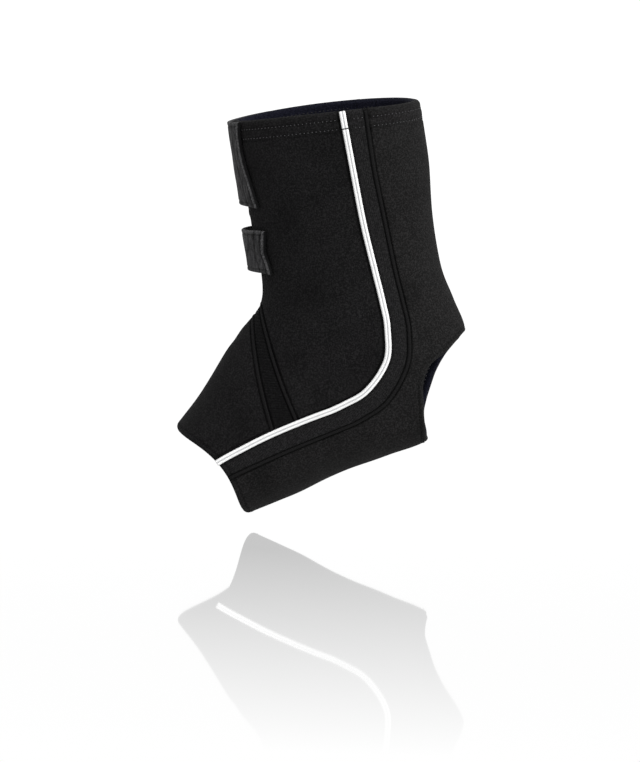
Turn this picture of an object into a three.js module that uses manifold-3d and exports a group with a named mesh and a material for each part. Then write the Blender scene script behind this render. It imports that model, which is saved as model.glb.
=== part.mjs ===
// Ankle brace: a neoprene sleeve for the lower leg and the midfoot, with an open heel.
// Millimetres, +Z up, toes towards -X, the wearer's left towards -Y. Origin at the ankle's centre.

import * as THREE from 'three';
import { mergeVertices } from 'three/addons/utils/BufferGeometryUtils.js';
import Module from 'manifold-3d';

// Driving dimensions of the sleeve
const LEG_HEIGHT = 138; // ankle centre up to the rim at the back of the leg
const LEG_DEPTH = 106; // front to back at the rim
const LEG_WIDTH = 72; // side to side at the rim
const SOLE_DROP = 99; // ankle centre down to the sole at the toe edge
const FOOT_REACH = 50; // how far the toe edge lies ahead of the shin
const FOOT_WIDTH = 78; // side to side at the toe edge
const WALL = 4.5; // neoprene between two knitted faces
const HEM_EXTRA = 1.2; // what the turned hem adds on the inside of the rim
const HEM_DEPTH = 14; // how far the turned hem reaches down
const SEAM_GAP = 0.4; // between two panels that are sewn edge to edge
const SLIT_WIDTH = 3; // between the front edges of the two side panels

// Driving dimensions of the trim
const PIPING_WIDTH = 4;
const PIPING_THICKNESS = 1.2;
const PIPING_CROWN = 0.5; // how far the tape's middle stands above its edges
const PIPING_END_LENGTH = 9.5; // the folded end at the rim
const TRIM_GAP = 0.3; // between a sewn-on piece and the skin below it
const PIPING_END_EXTRA = 0.4; // how much thicker the folded end is
const UPPER_TAB_HEIGHT = 46;
const LOWER_TAB_DROP = 61; // rim to the top edge of the lower tab, along the shin
const LOWER_TAB_HEIGHT = 25;
const TAB_THICKNESS = 1.6;
const TAB_RISE = 3; // how much higher a tab's lower edge is at its middle than at its ends
// How far each tab stands off the shin at its middle, along its upper and its lower edge
const UPPER_TAB_BULGE = { above: 0.8, below: 2.6 };
const LOWER_TAB_BULGE = { above: 4.6, below: 5.6 };

// Sections of the sleeve, fanned from the rim (first) over the ankle to the toe edge (last).
// shin and heel are shares of LEG_DEPTH ahead of and behind the ankle centre,
// toe and arch are shares of FOOT_REACH further ahead, for the front and the back point.
// frontRise and backRise are shares of LEG_HEIGHT above the centre or of SOLE_DROP below it.
// leg and foot are shares of LEG_WIDTH and FOOT_WIDTH. boxFront and boxBack square the section,
// and setBack is the share of the half width by which its sides lie towards the heel.
// piping and seam are shares of the way from the front point to the back point.
const SECTIONS = [
  { shin: 0.645, toe: 0.000, frontRise: 0.904, heel: 0.356, arch: 0.000, backRise: 1.000,
    leg: 1.000, foot: 0.000, boxFront: 0.00, boxBack: 0.10, setBack: 0.036, piping: 0.635, seam: 0.754 },
  { shin: 0.602, toe: 0.000, frontRise: 0.724, heel: 0.409, arch: 0.000, backRise: 0.744,
    leg: 0.944, foot: 0.000, boxFront: 0.00, boxBack: 0.10, setBack: 0.017, piping: 0.639, seam: 0.747 },
  { shin: 0.549, toe: 0.000, frontRise: 0.520, heel: 0.430, arch: 0.000, backRise: 0.520,
    leg: 0.875, foot: 0.000, boxFront: 0.00, boxBack: 0.08, setBack: 0.000, piping: 0.659, seam: 0.774 },
  { shin: 0.501, toe: 0.000, frontRise: 0.344, heel: 0.475, arch: 0.000, backRise: 0.323,
    leg: 0.833, foot: 0.000, boxFront: 0.00, boxBack: 0.06, setBack: 0.000, piping: 0.671, seam: 0.779 },
  { shin: 0.479, toe: 0.000, frontRise: 0.221, heel: 0.542, arch: 0.000, backRise: 0.185,
    leg: 0.847, foot: 0.000, boxFront: 0.00, boxBack: 0.05, setBack: 0.000, piping: 0.663, seam: 0.767 },
  { shin: 0.479, toe: 0.022, frontRise: 0.156, heel: 0.608, arch: 0.000, backRise: 0.049,
    leg: 0.600, foot: 0.254, boxFront: 0.02, boxBack: 0.05, setBack: 0.000, piping: 0.652, seam: 0.753 },
  { shin: 0.479, toe: 0.094, frontRise: 0.111, heel: 0.608, arch: 0.000, backRise: -0.171,
    leg: 0.400, foot: 0.451, boxFront: 0.05, boxBack: 0.05, setBack: 0.000, piping: 0.658, seam: 0.753 },
  { shin: 0.479, toe: 0.176, frontRise: 0.076, heel: 0.533, arch: 0.000, backRise: -0.433,
    leg: 0.200, foot: 0.649, boxFront: 0.08, boxBack: 0.12, setBack: 0.000, piping: 0.622, seam: 0.726 },
  { shin: 0.479, toe: 0.266, frontRise: 0.035, heel: 0.404, arch: 0.000, backRise: -0.561,
    leg: 0.000, foot: 0.846, boxFront: 0.10, boxBack: 0.25, setBack: 0.000, piping: 0.594, seam: 0.713 },
  { shin: 0.479, toe: 0.408, frontRise: -0.054, heel: 0.203, arch: 0.000, backRise: -0.644,
    leg: 0.000, foot: 0.885, boxFront: 0.12, boxBack: 0.30, setBack: 0.029, piping: 0.575, seam: 0.713 },
  { shin: 0.479, toe: 0.600, frontRise: -0.215, heel: 0.203, arch: 0.566, backRise: -0.754,
    leg: 0.000, foot: 0.923, boxFront: 0.14, boxBack: 0.30, setBack: 0.097, piping: 0.539, seam: 0.695 },
  { shin: 0.479, toe: 0.780, frontRise: -0.356, heel: 0.203, arch: 1.096, backRise: -0.888,
    leg: 0.000, foot: 0.962, boxFront: 0.14, boxBack: 0.30, setBack: 0.200, piping: 0.500, seam: 0.662 },
  { shin: 0.479, toe: 0.994, frontRise: -0.498, heel: 0.203, arch: 1.610, backRise: -1.000,
    leg: 0.000, foot: 1.000, boxFront: 0.14, boxBack: 0.30, setBack: 0.320, piping: 0.469, seam: 0.640 },
];
const TOE_EDGE = SECTIONS.length - 1;

// Where things lie on the sleeve, in section numbers: 0 is the rim, TOE_EDGE the toe edge
const GUSSET_TOP = 5.0; // upper edge of the gusset on the front line, where the slit ends
const GUSSET_BOTTOM = 6.2; // its lower edge on the front line
const GUSSET_TOP_FOOT = 9.42; // upper edge where it meets the piping
const GUSSET_BOTTOM_FOOT = 10.05; // lower edge where it meets the piping
const POINT_CUT = 0.12; // how much of the side panel's sharp lower point is left off, in sections
const FRONT_CUT = 0.05; // the same for the instep panel's upper point

// Edge of the heel opening seen from the side: a section, and the share of its way to the back
const HEEL_OPENING = [
  { section: 4.85, share: 1.03 },
  { section: 5.2, share: 0.955 },
  { section: 5.5, share: 0.907 },
  { section: 5.9, share: 0.87 },
  { section: 6.4, share: 0.852 },
  { section: 6.9, share: 0.862 },
  { section: 7.3, share: 0.882 },
  { section: 7.7, share: 0.933 },
  { section: 8.1, share: 1.03 },
];
const BEHIND_HEEL = 1.6; // a share that lies well behind the sleeve

// Angles at which the tabs end, from the front line: the left end shows, the right end is sewn on
const TAB_LEFT_ANGLE = 0.6;
const TAB_RIGHT_ANGLE = 0.85;

// Mesh steps
const STEPS_PER_SECTION = 3;
const SIDE_STEPS = 7;
const STRIPE_STEPS = 2;
const INSTEP_STEPS = 14;
const BACK_STEPS = 20;
const GUSSET_LENGTH_STEPS = 36;
const GUSSET_ROWS = 18;
const GUSSET_WIDTH_STEPS = 2;
const TAB_HEIGHT_STEPS = 6;
const TAB_LENGTH_STEPS = 14;
const HALVINGS = 40;
const SMALL_STEP = 1e-3;
const WALK_STEP = 0.01;
const CUT_POINTS = 20;

const COLOURS = {
  shinPanel: 0x4a484b,
  heelPanel: 0x565355,
  ribbed: 0x444346,
  piping: 0xf0f0ee,
  tab: 0x6a696b,
};

/** Value of one column of SECTIONS at a section number, on a Catmull-Rom curve. */
function column(name, section) {
  const at = THREE.MathUtils.clamp(section, 0, TOE_EDGE);
  const row = Math.min(Math.floor(at), TOE_EDGE - 1);
  const t = at - row;
  const read = (index) => {
    if (index < 0) return 2 * SECTIONS[0][name] - SECTIONS[1][name];
    if (index > TOE_EDGE) return 2 * SECTIONS[TOE_EDGE][name] - SECTIONS[TOE_EDGE - 1][name];
    return SECTIONS[index][name];
  };
  const [a, b, c, d] = [read(row - 1), read(row), read(row + 1), read(row + 2)];
  const bend = 2 * a - 5 * b + 4 * c - d;
  const twist = 3 * b - a - 3 * c + d;
  return 0.5 * (2 * b + (c - a) * t + bend * t * t + twist * t * t * t);
}

/** Height above the ankle centre for a share of the leg or of the foot. */
function height(share) {
  return share > 0 ? share * LEG_HEIGHT : share * SOLE_DROP;
}

/** Front point of a section, in the middle plane. */
function frontPoint(section) {
  const x = -column('shin', section) * LEG_DEPTH - column('toe', section) * FOOT_REACH;
  return new THREE.Vector3(x, 0, height(column('frontRise', section)));
}

/** Back point of a section, in the middle plane. */
function backPoint(section) {
  const x = column('heel', section) * LEG_DEPTH - column('arch', section) * FOOT_REACH;
  return new THREE.Vector3(x, 0, height(column('backRise', section)));
}

/** Point of the middle plane at a share of the way from the front point to the back point. */
function middlePoint(section, share) {
  return frontPoint(section).lerp(backPoint(section), share);
}

/** Point of the sleeve's outer face. The angle is 0 at the front, PI at the back, negative on the left. */
function facePoint(section, angle) {
  const front = frontPoint(section);
  const back = backPoint(section);
  const toBack = back.clone().sub(front).multiplyScalar(0.5);
  const upwards = new THREE.Vector3(-toBack.z, 0, toBack.x).normalize();
  const cosine = Math.cos(angle);
  const sine = Math.sin(angle);
  const halfWidth = 0.5 * (column('leg', section) * LEG_WIDTH + column('foot', section) * FOOT_WIDTH);
  const boxFront = column('boxFront', section);
  const boxBack = column('boxBack', section);
  const box = 0.5 * (boxFront + boxBack) + 0.5 * (boxFront - boxBack) * cosine;
  const point = front.add(back).multiplyScalar(0.5).addScaledVector(toBack, -cosine);
  point.addScaledVector(upwards, column('setBack', section) * halfWidth * sine * sine);
  point.y = halfWidth * sine * (1 + box * cosine * cosine);
  return point;
}

/** How fast the outer face moves with the angle, in millimetres per radian. */
function angleSpeed(section, angle) {
  return facePoint(section, angle + SMALL_STEP).distanceTo(facePoint(section, angle)) / SMALL_STEP;
}

/** Outward direction of the outer face. */
function faceNormal(section, angle) {
  const before = facePoint(Math.max(section - SMALL_STEP, 0), angle);
  const after = facePoint(Math.min(section + SMALL_STEP, TOE_EDGE), angle);
  const left = facePoint(section, angle - SMALL_STEP);
  const right = facePoint(section, angle + SMALL_STEP);
  return right.sub(left).cross(after.sub(before)).normalize();
}

/** Point at a distance outside the outer face, or inside it where the distance is negative. */
function offsetPoint(section, angle, distance) {
  return facePoint(section, angle).addScaledVector(faceNormal(section, angle), distance);
}

/** Angle of the point at a share of the way to the back. */
function angleOf(share) {
  return Math.acos(THREE.MathUtils.clamp(1 - 2 * share, -1, 1));
}

/** Section number at a distance below the rim, measured down the front line. */
function sectionBelowRim(distance) {
  let section = 0;
  let walked = 0;
  while (walked < distance && section < GUSSET_TOP) {
    walked += frontPoint(section + WALK_STEP).distanceTo(frontPoint(section));
    section += WALK_STEP;
  }
  return section;
}

/** Wall thickness: the turned hem thickens it towards the rim. */
function wallAt(section) {
  const hemEnd = sectionBelowRim(HEM_DEPTH);
  return WALL + HEM_EXTRA * (1 - THREE.MathUtils.smoothstep(section, 0.6 * hemEnd, hemEnd));
}

/** Angle of a sewn line given by a column of shares, shifted round the sleeve by some millimetres. */
function lineAngle(name, section, shift = 0) {
  const angle = angleOf(column(name, section));
  return angle + shift / angleSpeed(section, angle);
}

/** Angle of the slit's edge. */
function slitAngle(section) {
  return SLIT_WIDTH / 2 / angleSpeed(section, 0);
}

/**
 * Angle at which a section crosses an edge of the gusset. From the side that edge is a straight
 * line, from the front line down to the piping. The shift moves it away from the gusset.
 */
function gussetAngle(section, top, foot, shift) {
  const start = frontPoint(top);
  const end = middlePoint(foot, column('piping', foot));
  const across = new THREE.Vector3(start.z - end.z, 0, end.x - start.x).normalize();
  start.addScaledVector(across, shift);
  const front = frontPoint(section).sub(start);
  const chord = backPoint(section).sub(frontPoint(section));
  const share = -front.dot(across) / chord.dot(across);
  return angleOf(Math.max(share, 0));
}

/** Closes a grid of outer points and a grid of inner points into one body. */
function shell(outer, inner) {
  const rows = outer.length;
  const columns = outer[0].length;
  const positions = [...outer.flat(), ...inner.flat()].flatMap((point) => point.toArray());
  const outerIndex = (i, j) => i * columns + j;
  const innerIndex = (i, j) => rows * columns + i * columns + j;
  const faces = [];
  const quad = (a, b, c, d) => faces.push(a, b, c, a, c, d);
  for (let i = 0; i < rows - 1; i += 1) {
    for (let j = 0; j < columns - 1; j += 1) {
      quad(outerIndex(i, j), outerIndex(i, j + 1), outerIndex(i + 1, j + 1), outerIndex(i + 1, j));
      quad(innerIndex(i, j), innerIndex(i + 1, j), innerIndex(i + 1, j + 1), innerIndex(i, j + 1));
    }
    const last = columns - 1;
    quad(outerIndex(i, 0), outerIndex(i + 1, 0), innerIndex(i + 1, 0), innerIndex(i, 0));
    quad(outerIndex(i, last), innerIndex(i, last), innerIndex(i + 1, last), outerIndex(i + 1, last));
  }
  for (let j = 0; j < columns - 1; j += 1) {
    const last = rows - 1;
    quad(outerIndex(0, j), innerIndex(0, j), innerIndex(0, j + 1), outerIndex(0, j + 1));
    quad(outerIndex(last, j), outerIndex(last, j + 1), innerIndex(last, j + 1), innerIndex(last, j));
  }
  const geometry = new THREE.BufferGeometry();
  geometry.setAttribute('position', new THREE.Float32BufferAttribute(positions, 3));
  geometry.setIndex(faces);
  return facingOut(geometry);
}

/** Turns a closed geometry's faces round if they point into it. */
function facingOut(geometry) {
  const index = geometry.index.array;
  const position = geometry.attributes.position;
  const corner = (k) => new THREE.Vector3().fromBufferAttribute(position, index[k]);
  let volume = 0;
  for (let k = 0; k < index.length; k += 3) {
    volume += corner(k).dot(corner(k + 1).cross(corner(k + 2)));
  }
  if (volume < 0) {
    for (let k = 0; k < index.length; k += 3) {
      [index[k + 1], index[k + 2]] = [index[k + 2], index[k + 1]];
    }
  }
  geometry.computeVertexNormals();
  return geometry;
}

/** Evenly spaced values from the first to the second. */
function steps(first, second, count) {
  return Array.from({ length: count + 1 }, (_, j) => THREE.MathUtils.lerp(first, second, j / count));
}

/** Evenly spaced section numbers, STEPS_PER_SECTION to a section. */
function evenRows(from, to) {
  return steps(from, to, Math.ceil((to - from) * STEPS_PER_SECTION));
}

/** Section numbers along the gusset, closest where its edge leaves the front line. */
function gussetRows(from, to) {
  return steps(0, 1, GUSSET_ROWS).map((t) => THREE.MathUtils.lerp(from, to, t * t));
}

/** A wall of the sleeve between two edges, which are angles given for each section number. */
function wallPanel(sections, across, firstEdge, secondEdge) {
  const outer = [];
  const inner = [];
  for (const section of sections) {
    const [first, second] = [firstEdge(section), secondEdge(section)];
    const angles = steps(first, second, across);
    outer.push(angles.map((angle) => offsetPoint(section, angle, 0)));
    inner.push(angles.map((angle) => offsetPoint(section, angle, -wallAt(section))));
  }
  return shell(outer, inner);
}

function fabric(color) {
  return new THREE.MeshStandardMaterial({ color, roughness: 0.95, metalness: 0 });
}

function namedMesh(name, geometry, material) {
  const mesh = new THREE.Mesh(geometry, material);
  mesh.name = name;
  return mesh;
}

const SIDES = [
  { name: 'left', sign: -1 },
  { name: 'right', sign: 1 },
];

/** Front of the leg on one side: from the slit and the gusset back to the piping. */
function sidePanel(sign) {
  const frontEdge = (section) => {
    if (section < GUSSET_TOP) return sign * slitAngle(section);
    const gusset = gussetAngle(section, GUSSET_TOP, GUSSET_TOP_FOOT, SEAM_GAP);
    return sign * Math.max(slitAngle(section), gusset);
  };
  const backEdge = (section) => sign * lineAngle('piping', section, -SEAM_GAP / 2);
  const upper = evenRows(0, GUSSET_TOP);
  const lower = gussetRows(GUSSET_TOP, GUSSET_TOP_FOOT - POINT_CUT).slice(1);
  return wallPanel([...upper, ...lower], SIDE_STEPS, frontEdge, backEdge);
}

/** Band of finely ribbed knit between the piping and the double seam. */
function stripe(sign) {
  const frontEdge = (section) => sign * lineAngle('piping', section, SEAM_GAP / 2);
  const backEdge = (section) => sign * lineAngle('seam', section, -SEAM_GAP / 2);
  return wallPanel(evenRows(0, TOE_EDGE), STRIPE_STEPS, frontEdge, backEdge);
}

/** Top of the foot, from the gusset to the toe edge and round to both pipings. */
function instepPanel() {
  const edge = (section) => {
    const gusset = gussetAngle(section, GUSSET_BOTTOM, GUSSET_BOTTOM_FOOT, -SEAM_GAP);
    const piping = lineAngle('piping', section, -SEAM_GAP / 2);
    return section < GUSSET_BOTTOM_FOOT ? Math.min(gusset, piping) : piping;
  };
  const upper = gussetRows(GUSSET_BOTTOM + FRONT_CUT, GUSSET_BOTTOM_FOOT);
  const lower = evenRows(GUSSET_BOTTOM_FOOT, TOE_EDGE).slice(1);
  return wallPanel([...upper, ...lower], INSTEP_STEPS, (section) => -edge(section), edge);
}

/** Section number at which a ray from the gusset's middle crosses one of its edges. */
function gussetSection(angle, top, foot) {
  let low = top;
  let high = foot;
  for (let i = 0; i < HALVINGS; i += 1) {
    const middle = 0.5 * (low + high);
    if (gussetAngle(middle, top, foot, 0) < angle) low = middle;
    else high = middle;
  }
  return 0.5 * (low + high);
}

/** Elastic wedge that crosses the bend of the ankle from one piping to the other. */
function gusset() {
  const outer = [];
  const inner = [];
  const upperFoot = lineAngle('piping', GUSSET_TOP_FOOT, -SEAM_GAP);
  const lowerFoot = lineAngle('piping', GUSSET_BOTTOM_FOOT, -SEAM_GAP);
  for (let i = 0; i <= GUSSET_LENGTH_STEPS; i += 1) {
    const along = THREE.MathUtils.lerp(-1, 1, i / GUSSET_LENGTH_STEPS);
    const upperAngle = along * upperFoot;
    const lowerAngle = along * lowerFoot;
    const upperSection = gussetSection(Math.abs(upperAngle), GUSSET_TOP, GUSSET_TOP_FOOT);
    const lowerSection = gussetSection(Math.abs(lowerAngle), GUSSET_BOTTOM, GUSSET_BOTTOM_FOOT);
    const sections = steps(upperSection, lowerSection, GUSSET_WIDTH_STEPS);
    const angles = steps(upperAngle, lowerAngle, GUSSET_WIDTH_STEPS);
    outer.push(angles.map((angle, j) => offsetPoint(sections[j], angle, 0)));
    inner.push(angles.map((angle, j) => offsetPoint(sections[j], angle, -WALL)));
  }
  return shell(outer, inner);
}

const wasm = await Module();
wasm.setup();

/** A closed geometry as a solid that can be cut. */
function solidOf(geometry) {
  const bare = geometry.clone();
  bare.deleteAttribute('normal');
  bare.deleteAttribute('uv');
  const merged = mergeVertices(bare, 1e-4);
  const vertProperties = new Float32Array(merged.attributes.position.array);
  const triVerts = new Uint32Array(merged.index.array);
  return new wasm.Manifold(new wasm.Mesh({ numProp: 3, vertProperties, triVerts }));
}

/** Calf, heel and sole in one wall, with the heel opening cut through it from side to side. */
function backPanel() {
  const leftEdge = (section) => 2 * Math.PI - lineAngle('seam', section, SEAM_GAP / 2);
  const rightEdge = (section) => lineAngle('seam', section, SEAM_GAP / 2);
  const wall = wallPanel(evenRows(0, TOE_EDGE), BACK_STEPS, rightEdge, leftEdge);
  const sidePoint = (section, share) => {
    const point = middlePoint(section, share);
    return new THREE.Vector2(point.x, point.z);
  };
  const edge = new THREE.SplineCurve(HEEL_OPENING.map(({ section, share }) => sidePoint(section, share)));
  const behind = [HEEL_OPENING.at(-1), HEEL_OPENING[0]].map(({ section }) => sidePoint(section, BEHIND_HEEL));
  const outline = [...edge.getPoints(CUT_POINTS), ...behind];
  const width = 2 * FOOT_WIDTH;
  const cutter = new THREE.ExtrudeGeometry(new THREE.Shape(outline), { depth: width, bevelEnabled: false });
  cutter.rotateX(Math.PI / 2);
  cutter.translate(0, width / 2, 0);
  const cut = solidOf(wall).subtract(solidOf(cutter)).getMesh();
  const geometry = new THREE.BufferGeometry();
  geometry.setAttribute('position', new THREE.Float32BufferAttribute(cut.vertProperties, 3));
  geometry.setIndex([...cut.triVerts]);
  return facingOut(geometry);
}

/** White tape sewn over the line where the side panel and the stripe meet. */
function pipingTape(sign, from, to, extra) {
  const rows = Math.max(2, Math.ceil((to - from) * STEPS_PER_SECTION));
  const across = [-1, 0, 1];
  const outer = [];
  const inner = [];
  for (let i = 0; i <= rows; i += 1) {
    const section = THREE.MathUtils.lerp(from, to, i / rows);
    const angles = across.map((share) => sign * lineAngle('piping', section, (share * PIPING_WIDTH) / 2));
    const top = TRIM_GAP + PIPING_THICKNESS + extra;
    outer.push(angles.map((angle, j) => {
      const crown = across[j] === 0 ? PIPING_CROWN : 0;
      return offsetPoint(section, angle, top - PIPING_CROWN + crown);
    }));
    inner.push(angles.map((angle) => offsetPoint(section, angle, TRIM_GAP)));
  }
  return shell(outer, inner);
}

/** Tape tab that bridges the slit, standing off the shin at its middle. */
function tab(dropFromRim, tabHeight, bulge) {
  const outer = [];
  const inner = [];
  for (let i = 0; i <= TAB_HEIGHT_STEPS; i += 1) {
    const down = i / TAB_HEIGHT_STEPS;
    const places = steps(-TAB_LEFT_ANGLE, TAB_RIGHT_ANGLE, TAB_LENGTH_STEPS).map((angle) => {
      const reach = angle < 0 ? angle / TAB_LEFT_ANGLE : angle / TAB_RIGHT_ANGLE;
      const arch = Math.cos((reach * Math.PI) / 2) ** 2;
      const lowerEdge = dropFromRim + tabHeight - TAB_RISE * arch;
      const section = sectionBelowRim(THREE.MathUtils.lerp(dropFromRim, lowerEdge, down));
      const standOff = TRIM_GAP + arch * THREE.MathUtils.lerp(bulge.above, bulge.below, down);
      return { section, angle, standOff };
    });
    inner.push(places.map(({ section, angle, standOff }) => offsetPoint(section, angle, standOff)));
    outer.push(places.map(({ section, angle, standOff }) => {
      return offsetPoint(section, angle, standOff + TAB_THICKNESS);
    }));
  }
  return shell(outer, inner);
}

const group = new THREE.Group();

for (const { name, sign } of SIDES) {
  const endSection = sectionBelowRim(PIPING_END_LENGTH);
  const tapeStart = sectionBelowRim(PIPING_END_LENGTH + TRIM_GAP);
  const tape = pipingTape(sign, tapeStart, TOE_EDGE, 0);
  const foldedEnd = pipingTape(sign, 0, endSection, PIPING_END_EXTRA);
  group.add(namedMesh(`side_panel_${name}`, sidePanel(sign), fabric(COLOURS.shinPanel)));
  group.add(namedMesh(`stripe_${name}`, stripe(sign), fabric(COLOURS.ribbed)));
  group.add(namedMesh(`piping_${name}`, tape, fabric(COLOURS.piping)));
  group.add(namedMesh(`piping_end_${name}`, foldedEnd, fabric(COLOURS.piping)));
}
const upperTab = tab(0, UPPER_TAB_HEIGHT, UPPER_TAB_BULGE);
const lowerTab = tab(LOWER_TAB_DROP, LOWER_TAB_HEIGHT, LOWER_TAB_BULGE);
group.add(namedMesh('instep_panel', instepPanel(), fabric(COLOURS.shinPanel)));
group.add(namedMesh('ankle_gusset', gusset(), fabric(COLOURS.ribbed)));
group.add(namedMesh('back_panel', backPanel(), fabric(COLOURS.heelPanel)));
group.add(namedMesh('upper_tab', upperTab, fabric(COLOURS.tab)));
group.add(namedMesh('lower_tab', lowerTab, fabric(COLOURS.tab)));

export default group;
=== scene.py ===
import bpy
import numpy as np
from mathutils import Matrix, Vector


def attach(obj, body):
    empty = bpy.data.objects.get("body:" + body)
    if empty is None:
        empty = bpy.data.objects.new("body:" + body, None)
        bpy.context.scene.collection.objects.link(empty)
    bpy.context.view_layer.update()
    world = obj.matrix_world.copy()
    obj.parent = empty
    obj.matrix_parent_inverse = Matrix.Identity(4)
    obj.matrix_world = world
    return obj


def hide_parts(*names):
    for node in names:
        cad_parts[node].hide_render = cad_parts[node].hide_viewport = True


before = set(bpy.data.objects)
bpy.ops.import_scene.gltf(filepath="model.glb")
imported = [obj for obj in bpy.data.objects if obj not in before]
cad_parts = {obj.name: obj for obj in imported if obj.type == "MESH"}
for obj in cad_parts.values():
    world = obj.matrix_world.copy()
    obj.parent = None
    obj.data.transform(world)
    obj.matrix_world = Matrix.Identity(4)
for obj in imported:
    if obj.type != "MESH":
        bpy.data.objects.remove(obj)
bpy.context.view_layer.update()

# Side panels
# Two pieces of neoprene foam with black jersey bonded to the outside and navy jersey to the inside.
# Each runs from the slit at the shin back to the white tape, down to the gusset at the ankle,
# and is turned over at the rim into a hem.
MM = 0.001
LEG_HEIGHT = 138 * MM
LEG_DEPTH = 106 * MM
LEG_WIDTH = 72 * MM
SOLE_DROP = 99 * MM
FOOT_REACH = 50 * MM
FOOT_WIDTH = 78 * MM
WALL = 4.5 * MM
HEM_EXTRA = 1.2 * MM
HEM_DEPTH = 14 * MM
SEAM_GAP = 0.25 * MM
SLIT_WIDTH = 3 * MM
COLUMNS = "shin toe frontRise heel arch backRise leg foot boxFront boxBack setBack piping seam".split()
SECTIONS = np.array([
    (0.645, 0.000, 0.904, 0.356, 0.000, 1.000, 1.000, 0.000, 0.00, 0.10, 0.036, 0.635, 0.754),
    (0.602, 0.000, 0.724, 0.409, 0.000, 0.744, 0.944, 0.000, 0.00, 0.10, 0.017, 0.639, 0.747),
    (0.549, 0.000, 0.520, 0.430, 0.000, 0.520, 0.875, 0.000, 0.00, 0.08, 0.000, 0.659, 0.774),
    (0.501, 0.000, 0.344, 0.475, 0.000, 0.323, 0.833, 0.000, 0.00, 0.06, 0.000, 0.671, 0.779),
    (0.479, 0.000, 0.221, 0.542, 0.000, 0.185, 0.847, 0.000, 0.00, 0.05, 0.000, 0.663, 0.767),
    (0.479, 0.022, 0.156, 0.608, 0.000, 0.049, 0.600, 0.254, 0.02, 0.05, 0.000, 0.652, 0.753),
    (0.479, 0.094, 0.111, 0.608, 0.000, -0.171, 0.400, 0.451, 0.05, 0.05, 0.000, 0.658, 0.753),
    (0.479, 0.176, 0.076, 0.533, 0.000, -0.433, 0.200, 0.649, 0.08, 0.12, 0.000, 0.622, 0.726),
    (0.479, 0.266, 0.035, 0.404, 0.000, -0.561, 0.000, 0.846, 0.10, 0.25, 0.000, 0.594, 0.713),
    (0.479, 0.408, -0.054, 0.203, 0.000, -0.644, 0.000, 0.885, 0.12, 0.30, 0.029, 0.575, 0.713),
    (0.479, 0.600, -0.215, 0.203, 0.566, -0.754, 0.000, 0.923, 0.14, 0.30, 0.097, 0.539, 0.695),
    (0.479, 0.780, -0.356, 0.203, 1.096, -0.888, 0.000, 0.962, 0.14, 0.30, 0.200, 0.500, 0.662),
    (0.479, 0.994, -0.498, 0.203, 1.610, -1.000, 0.000, 1.000, 0.14, 0.30, 0.320, 0.469, 0.640),
])
TOE_EDGE = len(SECTIONS) - 1
GUSSET_TOP, GUSSET_TOP_FOOT = 5.0, 9.42
GUSSET_BOTTOM, GUSSET_BOTTOM_FOOT = 6.2, 10.05
SMALL_STEP = 1e-3


def catmull_rom(a, b, c, d, t):
    """A share t of the way from b to c on the Catmull-Rom curve through a, b, c and d."""
    bend = 2 * a - 5 * b + 4 * c - d
    twist = 3 * b - a - 3 * c + d
    return 0.5 * (2 * b + (c - a) * t + bend * t**2 + twist * t**3)


def column(name, section):
    """One column of the table at any section numbers: a Catmull-Rom curve through its rows."""
    rows = SECTIONS[:, COLUMNS.index(name)]
    rows = np.concatenate([[2 * rows[0] - rows[1]], rows, [2 * rows[-1] - rows[-2]]])
    at = np.clip(section, 0, TOE_EDGE)
    row = np.minimum(np.floor(at).astype(int), TOE_EDGE - 1)
    return catmull_rom(*(rows[row + k] for k in range(4)), at - row)


def height(share):
    """Height above the ankle centre: a share of the leg above it, of the sole's drop below it."""
    return np.where(share > 0, share * LEG_HEIGHT, share * SOLE_DROP)


def middle_points(section):
    """Front and back point of a section, each as x and z in the middle plane."""
    front_x = -column("shin", section) * LEG_DEPTH - column("toe", section) * FOOT_REACH
    back_x = column("heel", section) * LEG_DEPTH - column("arch", section) * FOOT_REACH
    front = np.stack([front_x, height(column("frontRise", section))], -1)
    return front, np.stack([back_x, height(column("backRise", section))], -1)


def face(section, angle):
    """Point of the sleeve's outer face: an oval between the section's front and back points.

    The cosine of the angle goes from front to back and its sine from side to side. The box
    columns square the oval, and setBack bends its sides out of the section's plane.
    """
    section, angle = np.broadcast_arrays(np.asarray(section, float), np.asarray(angle, float))
    front, back = middle_points(section)
    to_back = (back - front) / 2
    upwards = np.stack([-to_back[..., 1], to_back[..., 0]], -1)
    upwards /= np.linalg.norm(upwards, axis=-1, keepdims=True)
    cosine, sine = np.cos(angle), np.sin(angle)
    half_width = 0.5 * (column("leg", section) * LEG_WIDTH + column("foot", section) * FOOT_WIDTH)
    box_front, box_back = column("boxFront", section), column("boxBack", section)
    box = 0.5 * (box_front + box_back) + 0.5 * (box_front - box_back) * cosine
    lift = column("setBack", section) * half_width * sine**2
    flat = (front + back) / 2 - to_back * cosine[..., None] + upwards * lift[..., None]
    side = half_width * sine * (1 + box * cosine**2)
    return np.stack([flat[..., 0], side, flat[..., 1]], -1)


def unit(vectors):
    """The same directions with length 1."""
    return vectors / np.linalg.norm(vectors, axis=-1, keepdims=True)


def outward(section, angle):
    """Direction out of the face: round the ring crossed with down the sleeve."""
    before = face(np.maximum(section - SMALL_STEP, 0), angle)
    after = face(np.minimum(section + SMALL_STEP, TOE_EDGE), angle)
    around = face(section, angle + SMALL_STEP) - face(section, angle - SMALL_STEP)
    return unit(np.cross(around, after - before))


def skin(section, angle, out):
    """Point of the sleeve at a distance outside its face."""
    section, angle, out = np.broadcast_arrays(*(np.asarray(v, float) for v in (section, angle, out)))
    return face(section, angle) + outward(section, angle) * out[..., None]


def lengths_table(points, axis):
    """Length walked over a grid of points along one axis, from zero at its start."""
    walked = np.cumsum(np.linalg.norm(np.diff(points, axis=axis), axis=-1), axis=axis)
    return np.insert(walked, 0, 0, axis=axis)


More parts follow.
